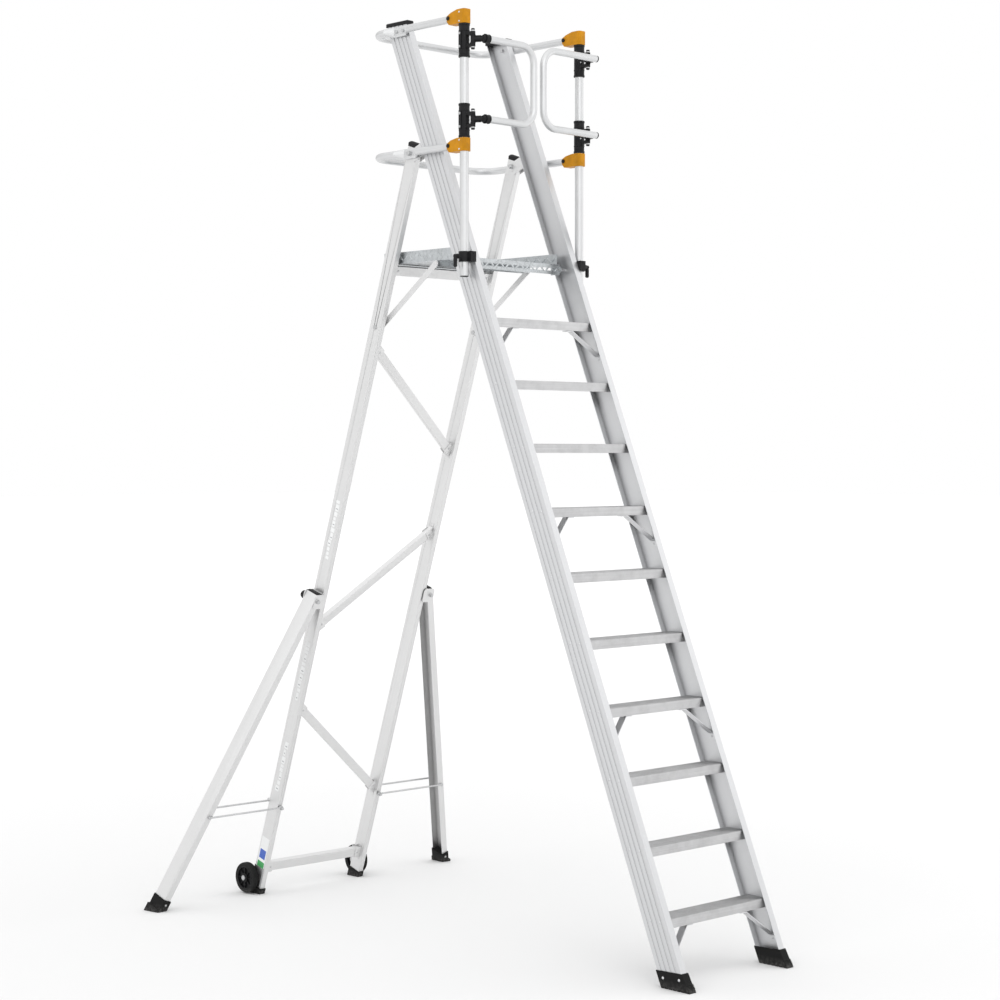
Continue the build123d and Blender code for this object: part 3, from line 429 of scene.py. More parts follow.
def dress_cad_nodes():
    """Give every CAD node its material and softly rounded edges."""
    for part in frame["record"]["subparts"]:
        node = frame["nodes"][part["node"]]
        slot = part["material_slot"]
        node.data.materials.clear()
        node.data.materials.append(MATERIALS[NODE_MATERIALS.get(part["node"], SLOT_MATERIALS[slot])])
        if slot in EDGE_ROUNDING:
            weld = node.modifiers.new("weld", "WELD")
            weld.merge_threshold = 0.00001
            bevel = node.modifiers.new("rounding", "BEVEL")
            bevel.width = EDGE_ROUNDING[slot]
            bevel.segments = 2
            bevel.limit_method = "ANGLE"
            bevel.angle_limit = math.radians(40)
            bevel.harden_normals = True


# --------------------------------------------------------------- mesh building


def ring(centre, axis, radius, count, start=0.0):
    """Points evenly round a circle about axis."""
    turn = Z_AXIS.rotation_difference(Vector(axis)).to_matrix()
    points = []
    for index in range(count):
        angle = start + 2 * math.pi * index / count
        points.append(Vector(centre) + turn @ Vector((radius * math.cos(angle), radius * math.sin(angle), 0)))
    return points


def loft(mesh, rings, capped=True):
    """Skin a stack of equally long point rings, and close both ends."""
    rows = [[mesh.verts.new(point) for point in points] for points in rings]
    for low, high in zip(rows, rows[1:]):
        for index in range(len(low)):
            after = (index + 1) % len(low)
            mesh.faces.new((low[index], low[after], high[after], high[index]))
    if capped:
        mesh.faces.new(rows[0][::-1])
        mesh.faces.new(rows[-1])


def turned(mesh, start, axis, profile, count=32, first=0.0):
    """Turned shape: profile is a list of (distance along axis, radius) pairs."""
    axis = Vector(axis).normalized()
    loft(mesh, [ring(Vector(start) + axis * along, axis, radius, count, first) for along, radius in profile])


def hollow_turned(mesh, start, axis, profile, count=96):
    """Ring-shaped turned body: the profile closes on itself."""
    axis = Vector(axis).normalized()
    rings = [ring(Vector(start) + axis * along, axis, radius, count) for along, radius in profile]
    loft(mesh, rings + rings[:1], capped=False)
    bmesh.ops.remove_doubles(mesh, verts=mesh.verts, dist=1e-7)


def hex_head(mesh, start, axis, flats, height):
    """Chamfered hexagon head or nut on a thin washer."""
    radius = flats / math.sqrt(3)
    turned(mesh, start, axis, [(0, flats * 0.62), (height * 0.18, flats * 0.62)], 28)
    chamfer = [(height * 0.18, radius), (height * 0.82, radius), (height, radius * 0.86)]
    turned(mesh, start, axis, chamfer, 6, random.uniform(0, 1))


def rivet_head(mesh, start, axis, radius):
    """Low domed head."""
    steps = 5
    profile = []
    for step in range(steps + 1):
        angle = math.pi / 2 * step / steps
        profile.append((radius * 0.42 * math.sin(angle), max(radius * math.cos(angle), radius * 0.06)))
    turned(mesh, start, axis, [(-0.0006, radius)] + profile, 20)


def block(mesh, low, high, place=Matrix(), rounding=0.0):
    """Box between two corners of a local frame, with rounded edges."""
    low, high = Vector(low), Vector(high)
    made = bmesh.ops.create_cube(mesh, size=1.0)
    corners = made["verts"]
    shape = Matrix.Translation((low + high) / 2) @ Matrix.Diagonal((*(high - low), 1))
    bmesh.ops.transform(mesh, matrix=place @ shape, verts=corners)
    if rounding:
        edges = list({edge for corner in corners for edge in corner.link_edges})
        bmesh.ops.bevel(mesh, geom=edges, offset=rounding, segments=3, affect="EDGES", profile=0.5)


def rounded_outline(width, height, radius, steps=5):
    """Outline of a flat rectangle with round corners, centred on the origin."""
    points = []
    for quarter, (sx, sy) in enumerate(((1, 1), (-1, 1), (-1, -1), (1, -1))):
        for step in range(steps + 1):
            angle = math.pi / 2 * (quarter + step / steps)
            points.append(
                (
                    sx * (width / 2 - radius) + radius * math.cos(angle),
                    sy * (height / 2 - radius) + radius * math.sin(angle),
                )
            )
    return points


def piece(name, mesh, material, body, sharp=35):
    """Turn a bmesh into a piece of the object that rides on a body."""
    bmesh.ops.recalc_face_normals(mesh, faces=mesh.faces)
    data = bpy.data.meshes.new(name)
    mesh.to_mesh(data)
    mesh.free()
    data.materials.append(MATERIALS[material])
    data.shade_smooth()
    data.set_sharp_from_angle(angle=math.radians(sharp))
    made = bpy.data.objects.new(name, data)
    bpy.context.scene.collection.objects.link(made)
    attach(made, body)
    return made


# ------------------------------------------------------------------- platform

LUG_LENGTH = 0.030
LUG_WIDTH = 0.0090
LUG_HEIGHT = 0.0018
LUG_PITCH = 0.0290
HINGE_EAR = 0.012
TOE_SETBACK = 0.015


def lug(mesh, centre, along, across, normal):
    """One raised lens of the chequer pattern."""
    rings = []
    for level, share in ((-0.0004, 1.0), (LUG_HEIGHT * 0.55, 0.86), (LUG_HEIGHT, 0.50)):
        points = []
        for index in range(10):
            angle = 2 * math.pi * index / 10
            length = math.cos(angle) * LUG_LENGTH / 2 * share
            width = math.sin(angle) * LUG_WIDTH / 2 * share
            points.append(centre + along * length + across * width + normal * level)
        rings.append(points)
    loft(mesh, rings)


def lug_field(mesh, corner, first, second, normal):
    """Fill a rectangle with lugs that turn by a right angle from each cell to the next."""
    columns = max(1, round(first.length / LUG_PITCH))
    rows = max(1, round(second.length / LUG_PITCH))
    along_a = (first.normalized() + second.normalized()).normalized()
    along_b = (first.normalized() - second.normalized()).normalized()
    for column in range(columns):
        for row in range(rows):
            centre = corner + first * ((column + 0.5) / columns) + second * ((row + 0.5) / rows)
            pair = (along_a, along_b) if (column + row) % 2 else (along_b, along_a)
            lug(mesh, centre, pair[0], pair[1], normal)


def deck_lugs():
    """Chequer pattern on the deck, its front lip and both faces of the toe boards."""
    low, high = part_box("platform_deck")
    deck_top = JOINTS["platform_fold"]["pos_m"][2] + 0.022
    lip_low = deck_top - 0.042
    lip_front = low.y + HINGE_EAR
    side_front = lip_front + TOE_SETBACK
    skin = 0.003
    margin = 0.004
    mesh = bmesh.new()
    across = high.x - low.x - 2 * (skin + margin)
    deep = high.y - lip_front - skin - 2 * margin
    lug_field(
        mesh,
        Vector((low.x + skin + margin, lip_front + margin, deck_top)),
        X_AXIS * across,
        Y_AXIS * deep,
        Z_AXIS,
    )
    lip_height = deck_top - lip_low - 2 * margin
    lip_corner = Vector((low.x + margin, lip_front, lip_low + margin))
    lug_field(mesh, lip_corner, X_AXIS * (across + 2 * skin), Z_AXIS * lip_height, -Y_AXIS)
    board_height = high.z - deck_top - margin
    side_length = high.y - side_front - 2 * margin
    for outer, outward in ((low.x, -X_AXIS), (high.x, X_AXIS)):
        corner = Vector((outer, side_front + margin, deck_top))
        lug_field(mesh, corner, Y_AXIS * side_length, Z_AXIS * board_height, outward)
        inner = corner - outward * skin + Z_AXIS * margin * 0.5
        lug_field(mesh, inner, Y_AXIS * (side_length - skin), Z_AXIS * board_height, -outward)
    rear_corner = Vector((low.x + skin + margin, high.y - skin, deck_top + margin * 0.5))
    lug_field(mesh, rear_corner, X_AXIS * across, Z_AXIS * board_height, -Y_AXIS)
    back_corner = Vector((low.x + margin, high.y, deck_top))
    lug_field(mesh, back_corner, X_AXIS * (across + 2 * skin), Z_AXIS * board_height, Y_AXIS)
    piece("deck_chequer_lugs", mesh, "plate", "platform")


def deck_rivets():
    """Rivets that hold the stiffener, heads under the deck's flanges."""
    low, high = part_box("deck_stiffener")
    mesh = bmesh.new()
    middle = (low.y + high.y) / 2
    for index in range(6):
        x = low.x + 0.04 + (high.x - low.x - 0.08) * index / 5
        rivet_head(mesh, (x, middle, high.z - 0.0025), -Z_AXIS, 0.0045)
    piece("deck_stiffener_rivets", mesh, "steel", "platform")


# ----------------------------------------------------------------- rear frame

# Height of each bar's ends up the legs, left then right, and the bar's own height
BAR_ENDS = {
    "platform_rest_bar": (2.858, 2.858, 0.040),
    "brace_upper": (2.520, 2.070, 0.036),
    "brace_middle": (1.269, 1.693, 0.036),
    "brace_lower": (0.892, 0.443, 0.036),
    "bottom_bar": (0.121, 0.121, 0.042),
}
BAR_FRONT = 0.018
BAR_DEPTH = 0.024
CLIP_REACH = 0.034
CLIP_THICK = 0.002
CLIP_GAP = 0.0003
SHEET_ROUNDING = 0.0006


def bar_clips():
    """Folded clips that hold each bar's ends to the legs; the platform's rest bar has none on top."""
    clips = bmesh.new()
    rivets = bmesh.new()
    inner = HALF_WIDTH - LEG_WIDTH
    for bar, (left, right, height) in BAR_ENDS.items():
        carries_deck = bar == "platform_rest_bar"
        slope = math.atan2(right - left, 2 * inner)
        for side, level in ((-1, left), (1, right)):
            flange = REAR @ Matrix.Translation((side * inner, 0, level))
            place = flange @ Matrix.Rotation(-slope, 4, "Y")
            half = height / 2 + (-0.001 if carries_deck else 0.004)
            x0, x1 = sorted((0, -side * CLIP_REACH))
            front = BAR_FRONT - CLIP_GAP
            rear = BAR_FRONT + BAR_DEPTH + CLIP_GAP
            block(clips, (x0, front - CLIP_THICK, -half), (x1, front, half), place, SHEET_ROUNDING)
            block(clips, (x0, rear, -half), (x1, rear + CLIP_THICK, half), place, SHEET_ROUNDING)
            x0, x1 = sorted((0, -side * 0.0022))
            for sign in (-1,) if carries_deck else (-1, 1):
                z0, z1 = sorted((sign * half, sign * (half + 0.013)))
                block(clips, (x0, front, z0), (x1, rear, z1), flange, SHEET_ROUNDING)
            spot = place @ Vector((-side * 0.022, front - CLIP_THICK, 0))
            rivet_head(rivets, spot, REAR.to_3x3() @ -Y_AXIS, 0.0052)
            spot = place @ Vector((-side * 0.022, rear + CLIP_THICK, 0))
            rivet_head(rivets, spot, REAR.to_3x3() @ Y_AXIS, 0.0052)
    piece("bar_end_clips", clips, "bar", "rear_frame")
    piece("bar_end_rivets", rivets, "steel", "rear_frame")


def leg_crowns():
    """Domed plastic tops on the legs, slightly proud in front and behind."""
    mesh = bmesh.new()
    seat = 3.378
    width = LEG_WIDTH + 0.0004
    depth = LEG_DEPTH + 0.0075
    dome = ((-0.006, 0.0), (0.004, 0.0), (0.010, 0.0012), (0.0145, 0.0045), (0.0165, 0.0105))
    for _, side in SIDES:
        x = side * (HALF_WIDTH - LEG_WIDTH / 2)
        place = REAR @ Matrix.Translation((x, LEG_DEPTH / 2, seat))
        rings = []
        for level, inset in dome:
            outline = rounded_outline(width - 2 * inset, depth - 2 * inset, 0.0055 - inset * 0.4)
            rings.append([place @ Vector((u, v, level)) for u, v in outline])
        loft(mesh, rings)
    piece("leg_crowns", mesh, "black", "rear_frame", 50)


def knob_grips():
    """Ribs round the outriggers' black hinge knobs."""
    mesh = bmesh.new()
    for word, _ in SIDES:
        pivot = Vector(JOINTS["outrigger_%s_fold" % word]["pos_m"])
        axis = REAR.to_3x3() @ Y_AXIS
        base = pivot + axis * 0.0402
        upward = REAR.to_3x3() @ Z_AXIS
        for index in range(12):
            turn = Matrix.Rotation(2 * math.pi * index / 12, 3, axis)
            centre = base + turn @ upward * 0.0168
            turned(mesh, centre, axis, [(0, 0.0022), (0.015, 0.0022), (0.018, 0.0012)], 10)
    piece("hinge_knob_grips", mesh, "black", "rear_frame")


def outrigger_pivot_nuts():
    """Hexagon heads over the front ends of the outriggers' hinge bolts and of the stays' bolts."""
    mesh = bmesh.new()
    forward = REAR.to_3x3() @ -Y_AXIS
    for word, _ in SIDES:
        pivot = Vector(JOINTS["outrigger_%s_fold" % word]["pos_m"])
        hex_head(mesh, pivot + forward * 0.0448, forward, 0.015, 0.005)
        eye = Vector(JOINTS["stay_%s_swing" % word]["pos_m"])
        hex_head(mesh, eye + forward * 0.0494, forward, 0.012, 0.005)
        hex_head(mesh, eye - forward * 0.0494, -forward, 0.012, 0.005)
    piece("rear_frame_hex_heads", mesh, "steel", "rear_frame")


def outrigger_points(word):
    """The outrigger channel's own points, in the ladder's frame."""
    node = frame["nodes"]["outrigger_%s" % word]
    return [node.matrix_world @ vertex.co for vertex in node.data.vertices]


def outrigger_top_plugs():
    """Black domed plugs in the outriggers' upper ends."""
    for word, side in SIDES:
        place = outrigger_frame(side)
        corners = [place.inverted() @ Vector(point) for point in outrigger_points(word)]
        top = max(corner.z for corner in corners)
        rings = []
        for level, inset in ((-0.003, 0.0), (0.003, 0.0), (0.008, 0.003), (0.0105, 0.009)):
            outline = rounded_outline(0.0300 - 2 * inset, 0.0705 - 2 * inset, 0.006 - inset * 0.5)
            rings.append([place @ Vector((u, v, top + level)) for u, v in outline])
        mesh = bmesh.new()
        loft(mesh, rings)
        piece("outrigger_top_plug_%s" % word, mesh, "black", "outrigger_%s" % word, 50)


def outrigger_boot_details():
    """A bright rivet and moulded ribs on each outrigger boot."""
    for word, side in SIDES:
        place = outrigger_frame(side)
        low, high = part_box("outrigger_boot_%s" % word)
        foot = -(place.inverted() @ Vector(((low.x + high.x) / 2, (low.y + high.y) / 2, 0))).z
        turn = place.to_3x3()
        mesh = bmesh.new()
        for sign in (-1, 1):
            spot = place @ Vector((0, sign * 0.0395, -foot + 0.040))
            rivet_head(mesh, spot, turn @ (Y_AXIS * sign), 0.0055)
        piece("outrigger_boot_rivets_%s" % word, mesh, "steel", "outrigger_%s" % word)
        ribs = bmesh.new()
        for level in (0.0565, 0.0600):
            outline = rounded_outline(0.0405, 0.0800, 0.004)
            rings = []
            for offset in (-0.0008, 0.0008):
                rings.append([place @ Vector((u, v, -foot + level + offset)) for u, v in outline])
            loft(ribs, rings)
        piece("outrigger_boot_ribs_%s" % word, ribs, "rubber", "outrigger_%s" % word)


def stickers():
    """Plain stickers on the left leg's outer face: white strips, and a tag with a blue and a green square."""
    outer = -HALF_WIDTH

    def sheet(mesh, middle, low, high, width, lift):
        outline = rounded_outline(width, high - low, 0.002)
        rings = []
        for depth in (0.0001, lift):
            x = outer - depth
            rings.append([REAR @ Vector((x, middle + u, (low + high) / 2 + v)) for u, v in outline])
        loft(mesh, rings)

    white = bmesh.new()
    grey = bmesh.new()
    for low, high in ((1.582, 1.846), (0.926, 1.203), (0.492, 0.730)):
        level = low
        while level < high - 0.012:
            height = random.uniform(0.012, 0.034)
            width = random.uniform(0.014, 0.026)
            middle = LEG_DEPTH / 2 - 0.004 + random.uniform(-0.003, 0.003)
            sheet(white, middle, level, min(level + height, high), width, 0.0004)
            if height > 0.024:
                sheet(grey, middle, level + 0.008, level + 0.013, width * 0.6, 0.0006)
            level += height + random.uniform(0.003, 0.007)
    sheet(white, LEG_DEPTH / 2, 0.080, 0.262, 0.052, 0.0004)
    piece("leg_stickers", white, "white_vinyl", "rear_frame")
    piece("leg_sticker_bars", grey, "grey_vinyl", "rear_frame")
    blue = bmesh.new()
    sheet(blue, LEG_DEPTH / 2, 0.160, 0.203, 0.040, 0.0006)
    piece("leg_sticker_blue", blue, "blue_vinyl", "rear_frame")
    green = bmesh.new()
    sheet(green, LEG_DEPTH / 2, 0.090, 0.146, 0.046, 0.0006)
    piece("leg_sticker_green", green, "green_vinyl", "rear_frame")


# --------------------------------------------------------------------- wheels

WHEEL_RADIUS = 0.0675
TYRE_BORE = 0.0525
TYRE_HALF = 0.015


def tyre_profile():
    """Half-crowned tread with three grooves; pairs of distance along the axle and radius."""
    crown = []
    groove_half = 0.0012
    groove_deep = 0.0016
    for centre in (-0.0065, 0.0, 0.0065):
        crown += [
            (centre - groove_half - 0.0006, 0.0),
            (centre - groove_half, groove_deep),
            (centre + groove_half, groove_deep),
            (centre + groove_half + 0.0006, 0.0),
        ]
    tread = [(along, WHEEL_RADIUS - deep - 4.0 * along * along) for along, deep in crown]
    shoulder = []
    for step in range(6):
        angle = math.pi / 2 * step / 5
        along = TYRE_HALF - 0.005 + 0.005 * math.sin(angle)
        radius = WHEEL_RADIUS - 0.006 + 0.005 * math.cos(angle)
        shoulder.append((along, radius))
    right = [*shoulder, (TYRE_HALF, 0.0575), (TYRE_HALF - 0.001, 0.0555), (TYRE_HALF - 0.001, TYRE_BORE)]
    left = [(-along, radius) for along, radius in reversed(right)]
    return left + tread + right


def wheels():
    """Grooved tyres, ribbed wheel centres and hexagon-headed axles."""
    for word, side in SIDES:
        body = "wheel_%s" % word
        axle = Vector(JOINTS["wheel_%s_spin" % word]["pos_m"])
        mesh = bmesh.new()
        hollow_turned(mesh, axle, X_AXIS, tyre_profile())
        tyre = piece("tyre_tread_%s" % word, mesh, "tyre", body, 50)
        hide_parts("tyre_%s" % word)
        ribs = bmesh.new()
        for face in (-1, 1):
            for index in range(8):
                turn = Matrix.Rotation(2 * math.pi * index / 8, 4, "X")
                place = Matrix.Translation(axle) @ turn
                x0, x1 = sorted((face * 0.0055, face * 0.0125))
                block(ribs, (x0, -0.0016, 0.0185), (x1, 0.0016, 0.0470), place, 0.0005)
        piece("wheel_ribs_%s" % word, ribs, "wheel", body)
        outward = X_AXIS * side
        cap = bmesh.new()
        start = axle + outward * (TYRE_HALF + 0.0065)
        profile = [(-0.001, 0.0095), (0.0008, 0.0095), (0.0020, 0.0080), (0.0026, 0.0040)]
        turned(cap, start, outward, profile, 32)
        piece("axle_cap_%s" % word, cap, "steel", "rear_frame")


# --------------------------------------------------------- guard rails, gates

SLEEVE_RADIUS = 0.0215
SLEEVE_HALF = 0.067


def sleeve_details():
    """Collars, ribs and clamp bolts on the gates' black hinge sleeves."""
    plastic = bmesh.new()
    bolts = bmesh.new()
    post_y = (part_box("post_right")[0].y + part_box("post_right")[1].y) / 2
    post_x = (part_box("post_right")[0].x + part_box("post_right")[1].x) / 2
    foot = SLEEVE_RADIUS + 0.0002
    end_collar = [(0, foot), (0.0012, 0.0231), (0.0078, 0.0231), (0.009, foot)]
    rib = [(0, foot), (0.001, 0.0226), (0.005, 0.0226), (0.006, foot)]
    for _, side in SIDES:
        for z in GATE_HEIGHTS:
            middle = Vector((side * post_x, post_y, z))
            for level in (-SLEEVE_HALF, SLEEVE_HALF - 0.009):
                turned(plastic, middle + Z_AXIS * level, Z_AXIS, end_collar, 48)
            for sign in (-1, 1):
                turned(plastic, middle + Z_AXIS * (sign * 0.038 - 0.003), Z_AXIS, rib, 48)
            outward = Vector((side, 0, 0))
            low = (0.019, -0.007, -0.036)
            high = (0.0255, 0.007, 0.036)
            place = Matrix.Translation(middle) @ Matrix.Scale(side, 4, X_AXIS)
            block(plastic, low, high, place, 0.0012)
            for level in (-0.026, 0.026):
                spot = middle + outward * 0.0253 + Z_AXIS * level
                hex_head(bolts, spot, outward, 0.0085, 0.0045)
            for level in (-0.008, 0.008):
                front = Vector((-0.45 * side, -0.893, 0)).normalized()
                spot = middle + front * foot + Z_AXIS * level
                rivet_head(bolts, spot, front, 0.0036)
    piece("sleeve_collars", plastic, "black", "front_ladder")
    piece("sleeve_bolts", bolts, "steel", "front_ladder")


def gate_pin_nuts():
    """Hexagon heads over and under each gate hinge pin."""
    mesh = bmesh.new()
    for word, _ in SIDES:
        hinge = Vector(JOINTS["gate_%s_swing" % word]["pos_m"])
        for z in GATE_HEIGHTS:
            hex_head(mesh, (hinge.x, hinge.y, z + 0.0348), Z_AXIS, 0.013, 0.0065)
            hex_head(mesh, (hinge.x, hinge.y, z - 0.0348), -Z_AXIS, 0.013, 0.0065)
    piece("gate_pin_nuts", mesh, "black", "front_ladder")


# Clear of the hinge pins' heads
COLLAR_BORE = 0.0085


def gate_arm_ribs():
    """Moulded gussets and collars on the gates' black arms."""
    for word, side in SIDES:
        mesh = bmesh.new()
        hinge = Vector(JOINTS["gate_%s_swing" % word]["pos_m"])
        low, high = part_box("gate_%s" % word)
        tube_y = (low.y + high.y) / 2
        for z in GATE_HEIGHTS:
            place = Matrix.Translation((hinge.x, hinge.y, z)) @ Matrix.Scale(side, 4, X_AXIS)
            collar = [(0, 0.0112), (0.004, 0.0112), (0.005, 0.0102), (0.005, COLLAR_BORE), (0, COLLAR_BORE)]
            hollow_turned(mesh, (hinge.x, hinge.y, z - 0.0164), Z_AXIS, collar, 28)
            collar = [(0, 0.0102), (0.001, 0.0112), (0.005, 0.0112), (0.005, COLLAR_BORE), (0, COLLAR_BORE)]
            hollow_turned(mesh, (hinge.x, hinge.y, z + 0.0114), Z_AXIS, collar, 28)
            if word == "left":
                reach = tube_y - hinge.y + 0.004
                for level in (-0.011, 0.0, 0.011):
                    slant = Matrix.Rotation(math.atan2(reach, -0.024), 4, "Z")
                    low = (COLLAR_BORE, -0.0065, level - 0.0016)
                    high = (0.034, 0.0065, level + 0.0016)
                    block(mesh, low, high, place @ slant, 0.0006)
                socket = Vector((hinge.x, tube_y, z))
                inward = Vector((-side, 0, 0))
                profile = [(0.027, 0.0172), (0.028, 0.0184), (0.032, 0.0184), (0.033, 0.0172)]
                turned(mesh, socket, inward, profile, 40)
                profile = [(0.0455, 0.0172), (0.0462, 0.0182), (0.0492, 0.0182), (0.0500, 0.0172)]
                hollow = [(along, radius) for along, radius in profile] + [(0.0500, 0.0143), (0.0455, 0.0143)]
                hollow_turned(mesh, socket, inward, hollow, 40)
            else:
                low = (-0.030, tube_y - hinge.y + 0.0145, -0.0145)
                high = (-0.022, tube_y - hinge.y + 0.0320, 0.0145)
                block(mesh, low, high, place, 0.0012)
        piece("gate_arm_ribs_%s" % word, mesh, "black", "gate_%s" % word)


def post_plugs():
    """Black plugs in the posts' lower ends, and screws in the clamps."""
    plastic = bmesh.new()
    screws = bmesh.new()
    low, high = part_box("post_right")
    clamp_low, clamp_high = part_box("post_clamps")
    for _, side in SIDES:
        foot = Vector((side * (low.x + high.x) / 2, (low.y + high.y) / 2, low.z))
        profile = [(-0.004, 0.0120), (-0.003, 0.0170), (-0.0002, 0.0172), (0.0002, 0.0148), (0.012, 0.0146)]
        turned(plastic, foot, Z_AXIS, profile, 36)
        middle_z = (clamp_low.z + clamp_high.z) / 2
        for level in (-0.013, 0.013):
            spot = Vector((side * 0.3150, clamp_low.y, middle_z + level))
            rivet_head(screws, spot, -Y_AXIS, 0.0035)
    piece("post_foot_plugs", plastic, "black", "front_ladder")
    piece("clamp_screws", screws, "black", "front_ladder")


def lever_grips():
    """Ribs across each clamp lever's handle."""
    for word, side in SIDES:
        low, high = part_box("clamp_lever_%s" % word)
        mesh = bmesh.new()
        middle_y = (low.y + high.y) / 2
        outer = high.x if side > 0 else low.x
        inner = outer - side * 0.0104
        for index in range(5):
            z = low.z + 0.006 + index * 0.006
            x0, x1 = sorted((inner, outer + side * 0.0009))
            block(mesh, (x0, middle_y - 0.0071, z), (x1, middle_y + 0.0071, z + 0.0024), Matrix(), 0.0007)
        piece("lever_grip_%s" % word, mesh, "black", "clamp_lever_%s" % word)


def pivot_heads():
    """Hexagon heads on the legs' pivot bolts."""
    mesh = bmesh.new()
    pivot = Vector(JOINTS["rear_frame_fold"]["pos_m"])
    bolt_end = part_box("frame_pivot_pins")[1].x
    for _, side in SIDES:
        outward = X_AXIS * side
        hex_head(mesh, (side * (bolt_end - 0.0002), pivot.y, pivot.z), outward, 0.017, 0.006)
        hex_head(mesh, (side * 0.2630, pivot.y, pivot.z), -outward, 0.016, 0.006)
    piece("pivot_hex_heads", mesh, "steel", "front_ladder")


# ------------------------------------------------------------- front ladder


def tread_fixings():
    """Riveted angle cleats under each tread's ends, and the rivets of the corner braces' tabs."""
    cleats = bmesh.new()
    rivets = bmesh.new()
    for number in range(1, 11):
        low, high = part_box("tread_%02d" % number)
        web = HALF_WIDTH - 0.0042
        under = high.z - 0.0048
        y0, y1 = low.y + 0.022, high.y - 0.020
        for _, side in SIDES:
            x0, x1 = sorted((side * web, side * (web - 0.0020)))
            block(cleats, (x0, y0, under - 0.024), (x1, y1, under), Matrix(), 0.0006)
            x0, x1 = sorted((side * web, side * (web - 0.022)))
            block(cleats, (x0, y0, under - 0.0022), (x1, y1, under - 0.0001), Matrix(), 0.0006)
            for share in (0.25, 0.75):
                y = y0 + (y1 - y0) * share
                rivet_head(rivets, (side * (web - 0.0020), y, under - 0.014), -X_AXIS * side, 0.0040)
    for number in BRACED_TREADS:
        tread_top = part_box("tread_%02d" % number)[1].z
        for _, side in SIDES:
            level = tread_top - 0.151
            spot = (side * (HALF_WIDTH - 0.0075), behind_stile_face(0.0335, level), level)
            rivet_head(rivets, spot, -X_AXIS * side, 0.0048)
    piece("tread_cleats", cleats, "stile", "front_ladder")
    piece("tread_cleat_rivets", rivets, "steel", "front_ladder")


def boot_details():
    """Moulded ribs across each front boot's toe."""
    mesh = bmesh.new()
    low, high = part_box("front_boot_right")
    x0, x1 = low.x - 0.0008, high.x + 0.0008
    for _, side in SIDES:
        place = Matrix.Translation((0, FRONT_FOOT_Y, 0)) @ Matrix.Scale(side, 4, X_AXIS)
        for index in range(4):
            share = (index + 0.5) / 4
            y = -0.0105 + 0.011 * share
            z = 0.012 + 0.018 * share
            block(mesh, (x0, y - 0.0018, z - 0.0012), (x1, y + 0.0030, z + 0.0012), place, 0.0006)
    piece("front_boot_ribs", mesh, "rubber", "front_ladder")


# ---------------------------------------------------------------------- stage


def stage():
    """Pale floor that turns white far away, white surroundings and two soft lights."""
    floor_mesh = bpy.data.meshes.new("floor")
    half = 80.0
    corners = [(-half, -half, 0), (half, -half, 0), (half, half, 0), (-half, half, 0)]
    floor_mesh.from_pydata(corners, [], [(0, 1, 2, 3)])
    floor = bpy.data.objects.new("floor", floor_mesh)
    floor.location.z = -0.0005
    bpy.context.scene.collection.objects.link(floor)
    paint = Shader("studio_floor")
    distance = paint.node("ShaderNodeVectorMath", operation="LENGTH")
    paint.feed(distance.inputs[0], paint.place)
    far = paint.remap(distance.outputs["Value"], 2.0, 14.0, 0.0, 1.0)
    paint.colour(paint.mix(far, (0.835, 0.835, 0.835), (0.99, 0.99, 0.99)))
    paint.roughness(0.9)
    paint.set(Specular_IOR_Level=0.1)
    floor_mesh.materials.append(paint.material)
    studio_world()
    for name, place, aim, size, power in (
        ("key_light", (-3.5, -6.5, 6.0), (0, 0, 1.6), 5.0, 45.0),
        ("fill_light", (6.5, -3.0, 4.0), (0, 0, 1.8), 5.0, 30.0),
    ):
        lamp = bpy.data.lights.new(name, "AREA")
        lamp.shape = "DISK"
        lamp.size = size
        lamp.energy = power
        light = bpy.data.objects.new(name, lamp)
        light.location = place
        light.rotation_euler = (Vector(aim) - Vector(place)).to_track_quat("-Z", "Y").to_euler()
        bpy.context.scene.collection.objects.link(light)


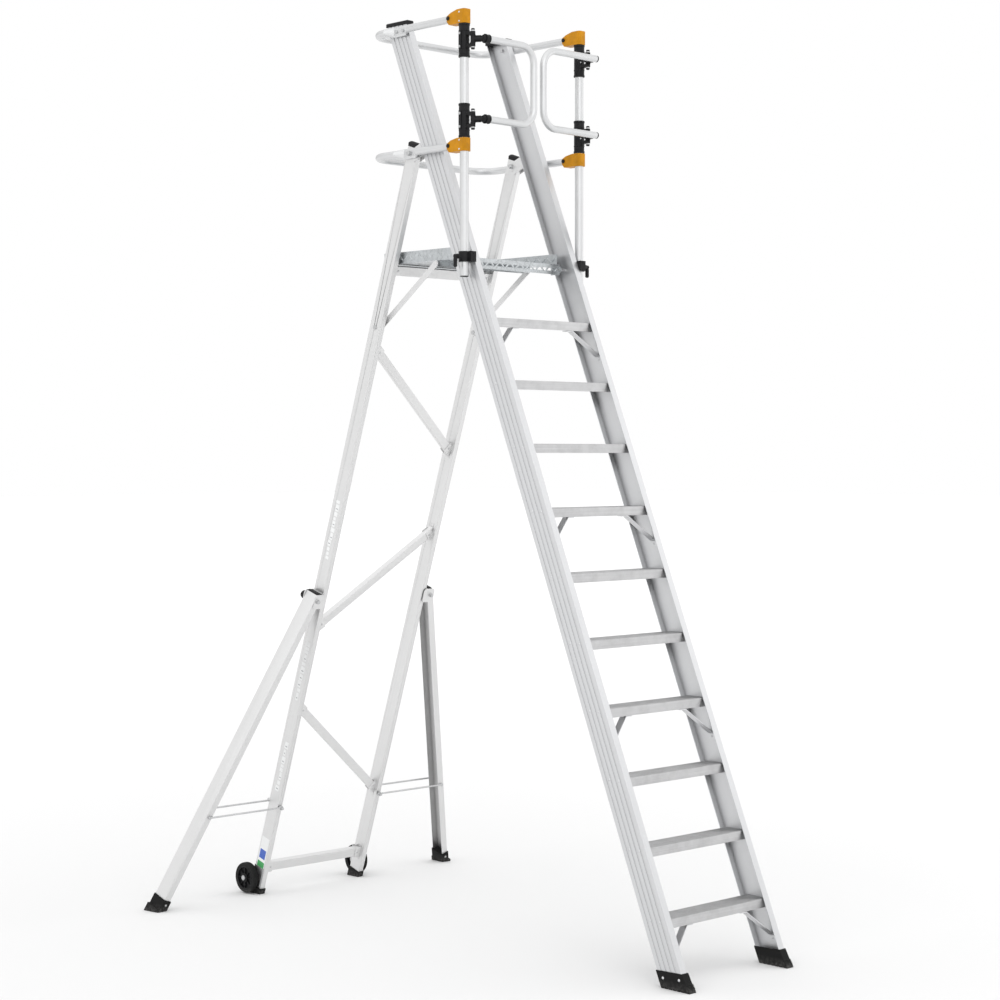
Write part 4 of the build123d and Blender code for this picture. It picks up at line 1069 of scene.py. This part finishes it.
def studio_world():
    """White backdrop; what lights the ladder is stronger from above and in front, weaker behind."""
    world = bpy.data.worlds.new("studio")
    bpy.context.scene.world = world
    world.use_nodes = True
    nodes, links = world.node_tree.nodes, world.node_tree.links

    def calculate(operation, first, second):
        made = nodes.new("ShaderNodeMath")
        made.operation = operation
        for socket, value in zip(made.inputs, (first, second)):
            if isinstance(value, bpy.types.NodeSocket):
                links.new(value, socket)
            else:
                socket.default_value = value
        return made.outputs[0]

    place = nodes.new("ShaderNodeTexCoord").outputs["Generated"]
    split = nodes.new("ShaderNodeSeparateXYZ")
    links.new(place, split.inputs["Vector"])
    rear = calculate("MULTIPLY", calculate("ADD", split.outputs["X"], split.outputs["Y"]), 0.707)
    overhead = calculate("MULTIPLY", calculate("MAXIMUM", split.outputs["Z"], 0.0), 0.33)
    level = calculate("SUBTRACT", 0.93, calculate("MULTIPLY", rear, 0.18))
    strength = calculate("ADD", level, overhead)
    seen = nodes.new("ShaderNodeLightPath").outputs["Is Camera Ray"]
    unseen = calculate("MULTIPLY", calculate("SUBTRACT", 1.0, seen), strength)
    background = nodes["Background"]
    background.inputs["Color"].default_value = (1, 1, 1, 1)
    links.new(calculate("ADD", seen, unseen), background.inputs["Strength"])


CAMERA_PLACE = (-6.308, -6.493, 1.959)
CAMERA_HEADING = math.radians(44.31)
CAMERA_DROP = math.radians(1.20)
CAMERA_LENS = 78.73


def camera():
    """Camera at a standing person's eye height, in front and to the left of the ladder."""
    data = bpy.data.cameras.new("camera")
    data.lens = CAMERA_LENS
    data.sensor_width = 36.0
    made = bpy.data.objects.new("camera", data)
    made.location = CAMERA_PLACE
    level = math.cos(CAMERA_DROP)
    ahead = math.cos(CAMERA_HEADING) * level
    forward = Vector((math.sin(CAMERA_HEADING) * level, ahead, -math.sin(CAMERA_DROP)))
    made.rotation_euler = forward.to_track_quat("-Z", "Y").to_euler()
    bpy.context.scene.collection.objects.link(made)
    bpy.context.scene.camera = made
    bpy.context.scene.view_settings.view_transform = "Standard"


camera()
stage()
dress_cad_nodes()
for build in (
    deck_lugs,
    deck_rivets,
    bar_clips,
    leg_crowns,
    knob_grips,
    outrigger_pivot_nuts,
    outrigger_top_plugs,
    outrigger_boot_details,
    stickers,
    wheels,
    sleeve_details,
    gate_pin_nuts,
    gate_arm_ribs,
    post_plugs,
    lever_grips,
    pivot_heads,
    tread_fixings,
    boot_details,
):
    build()
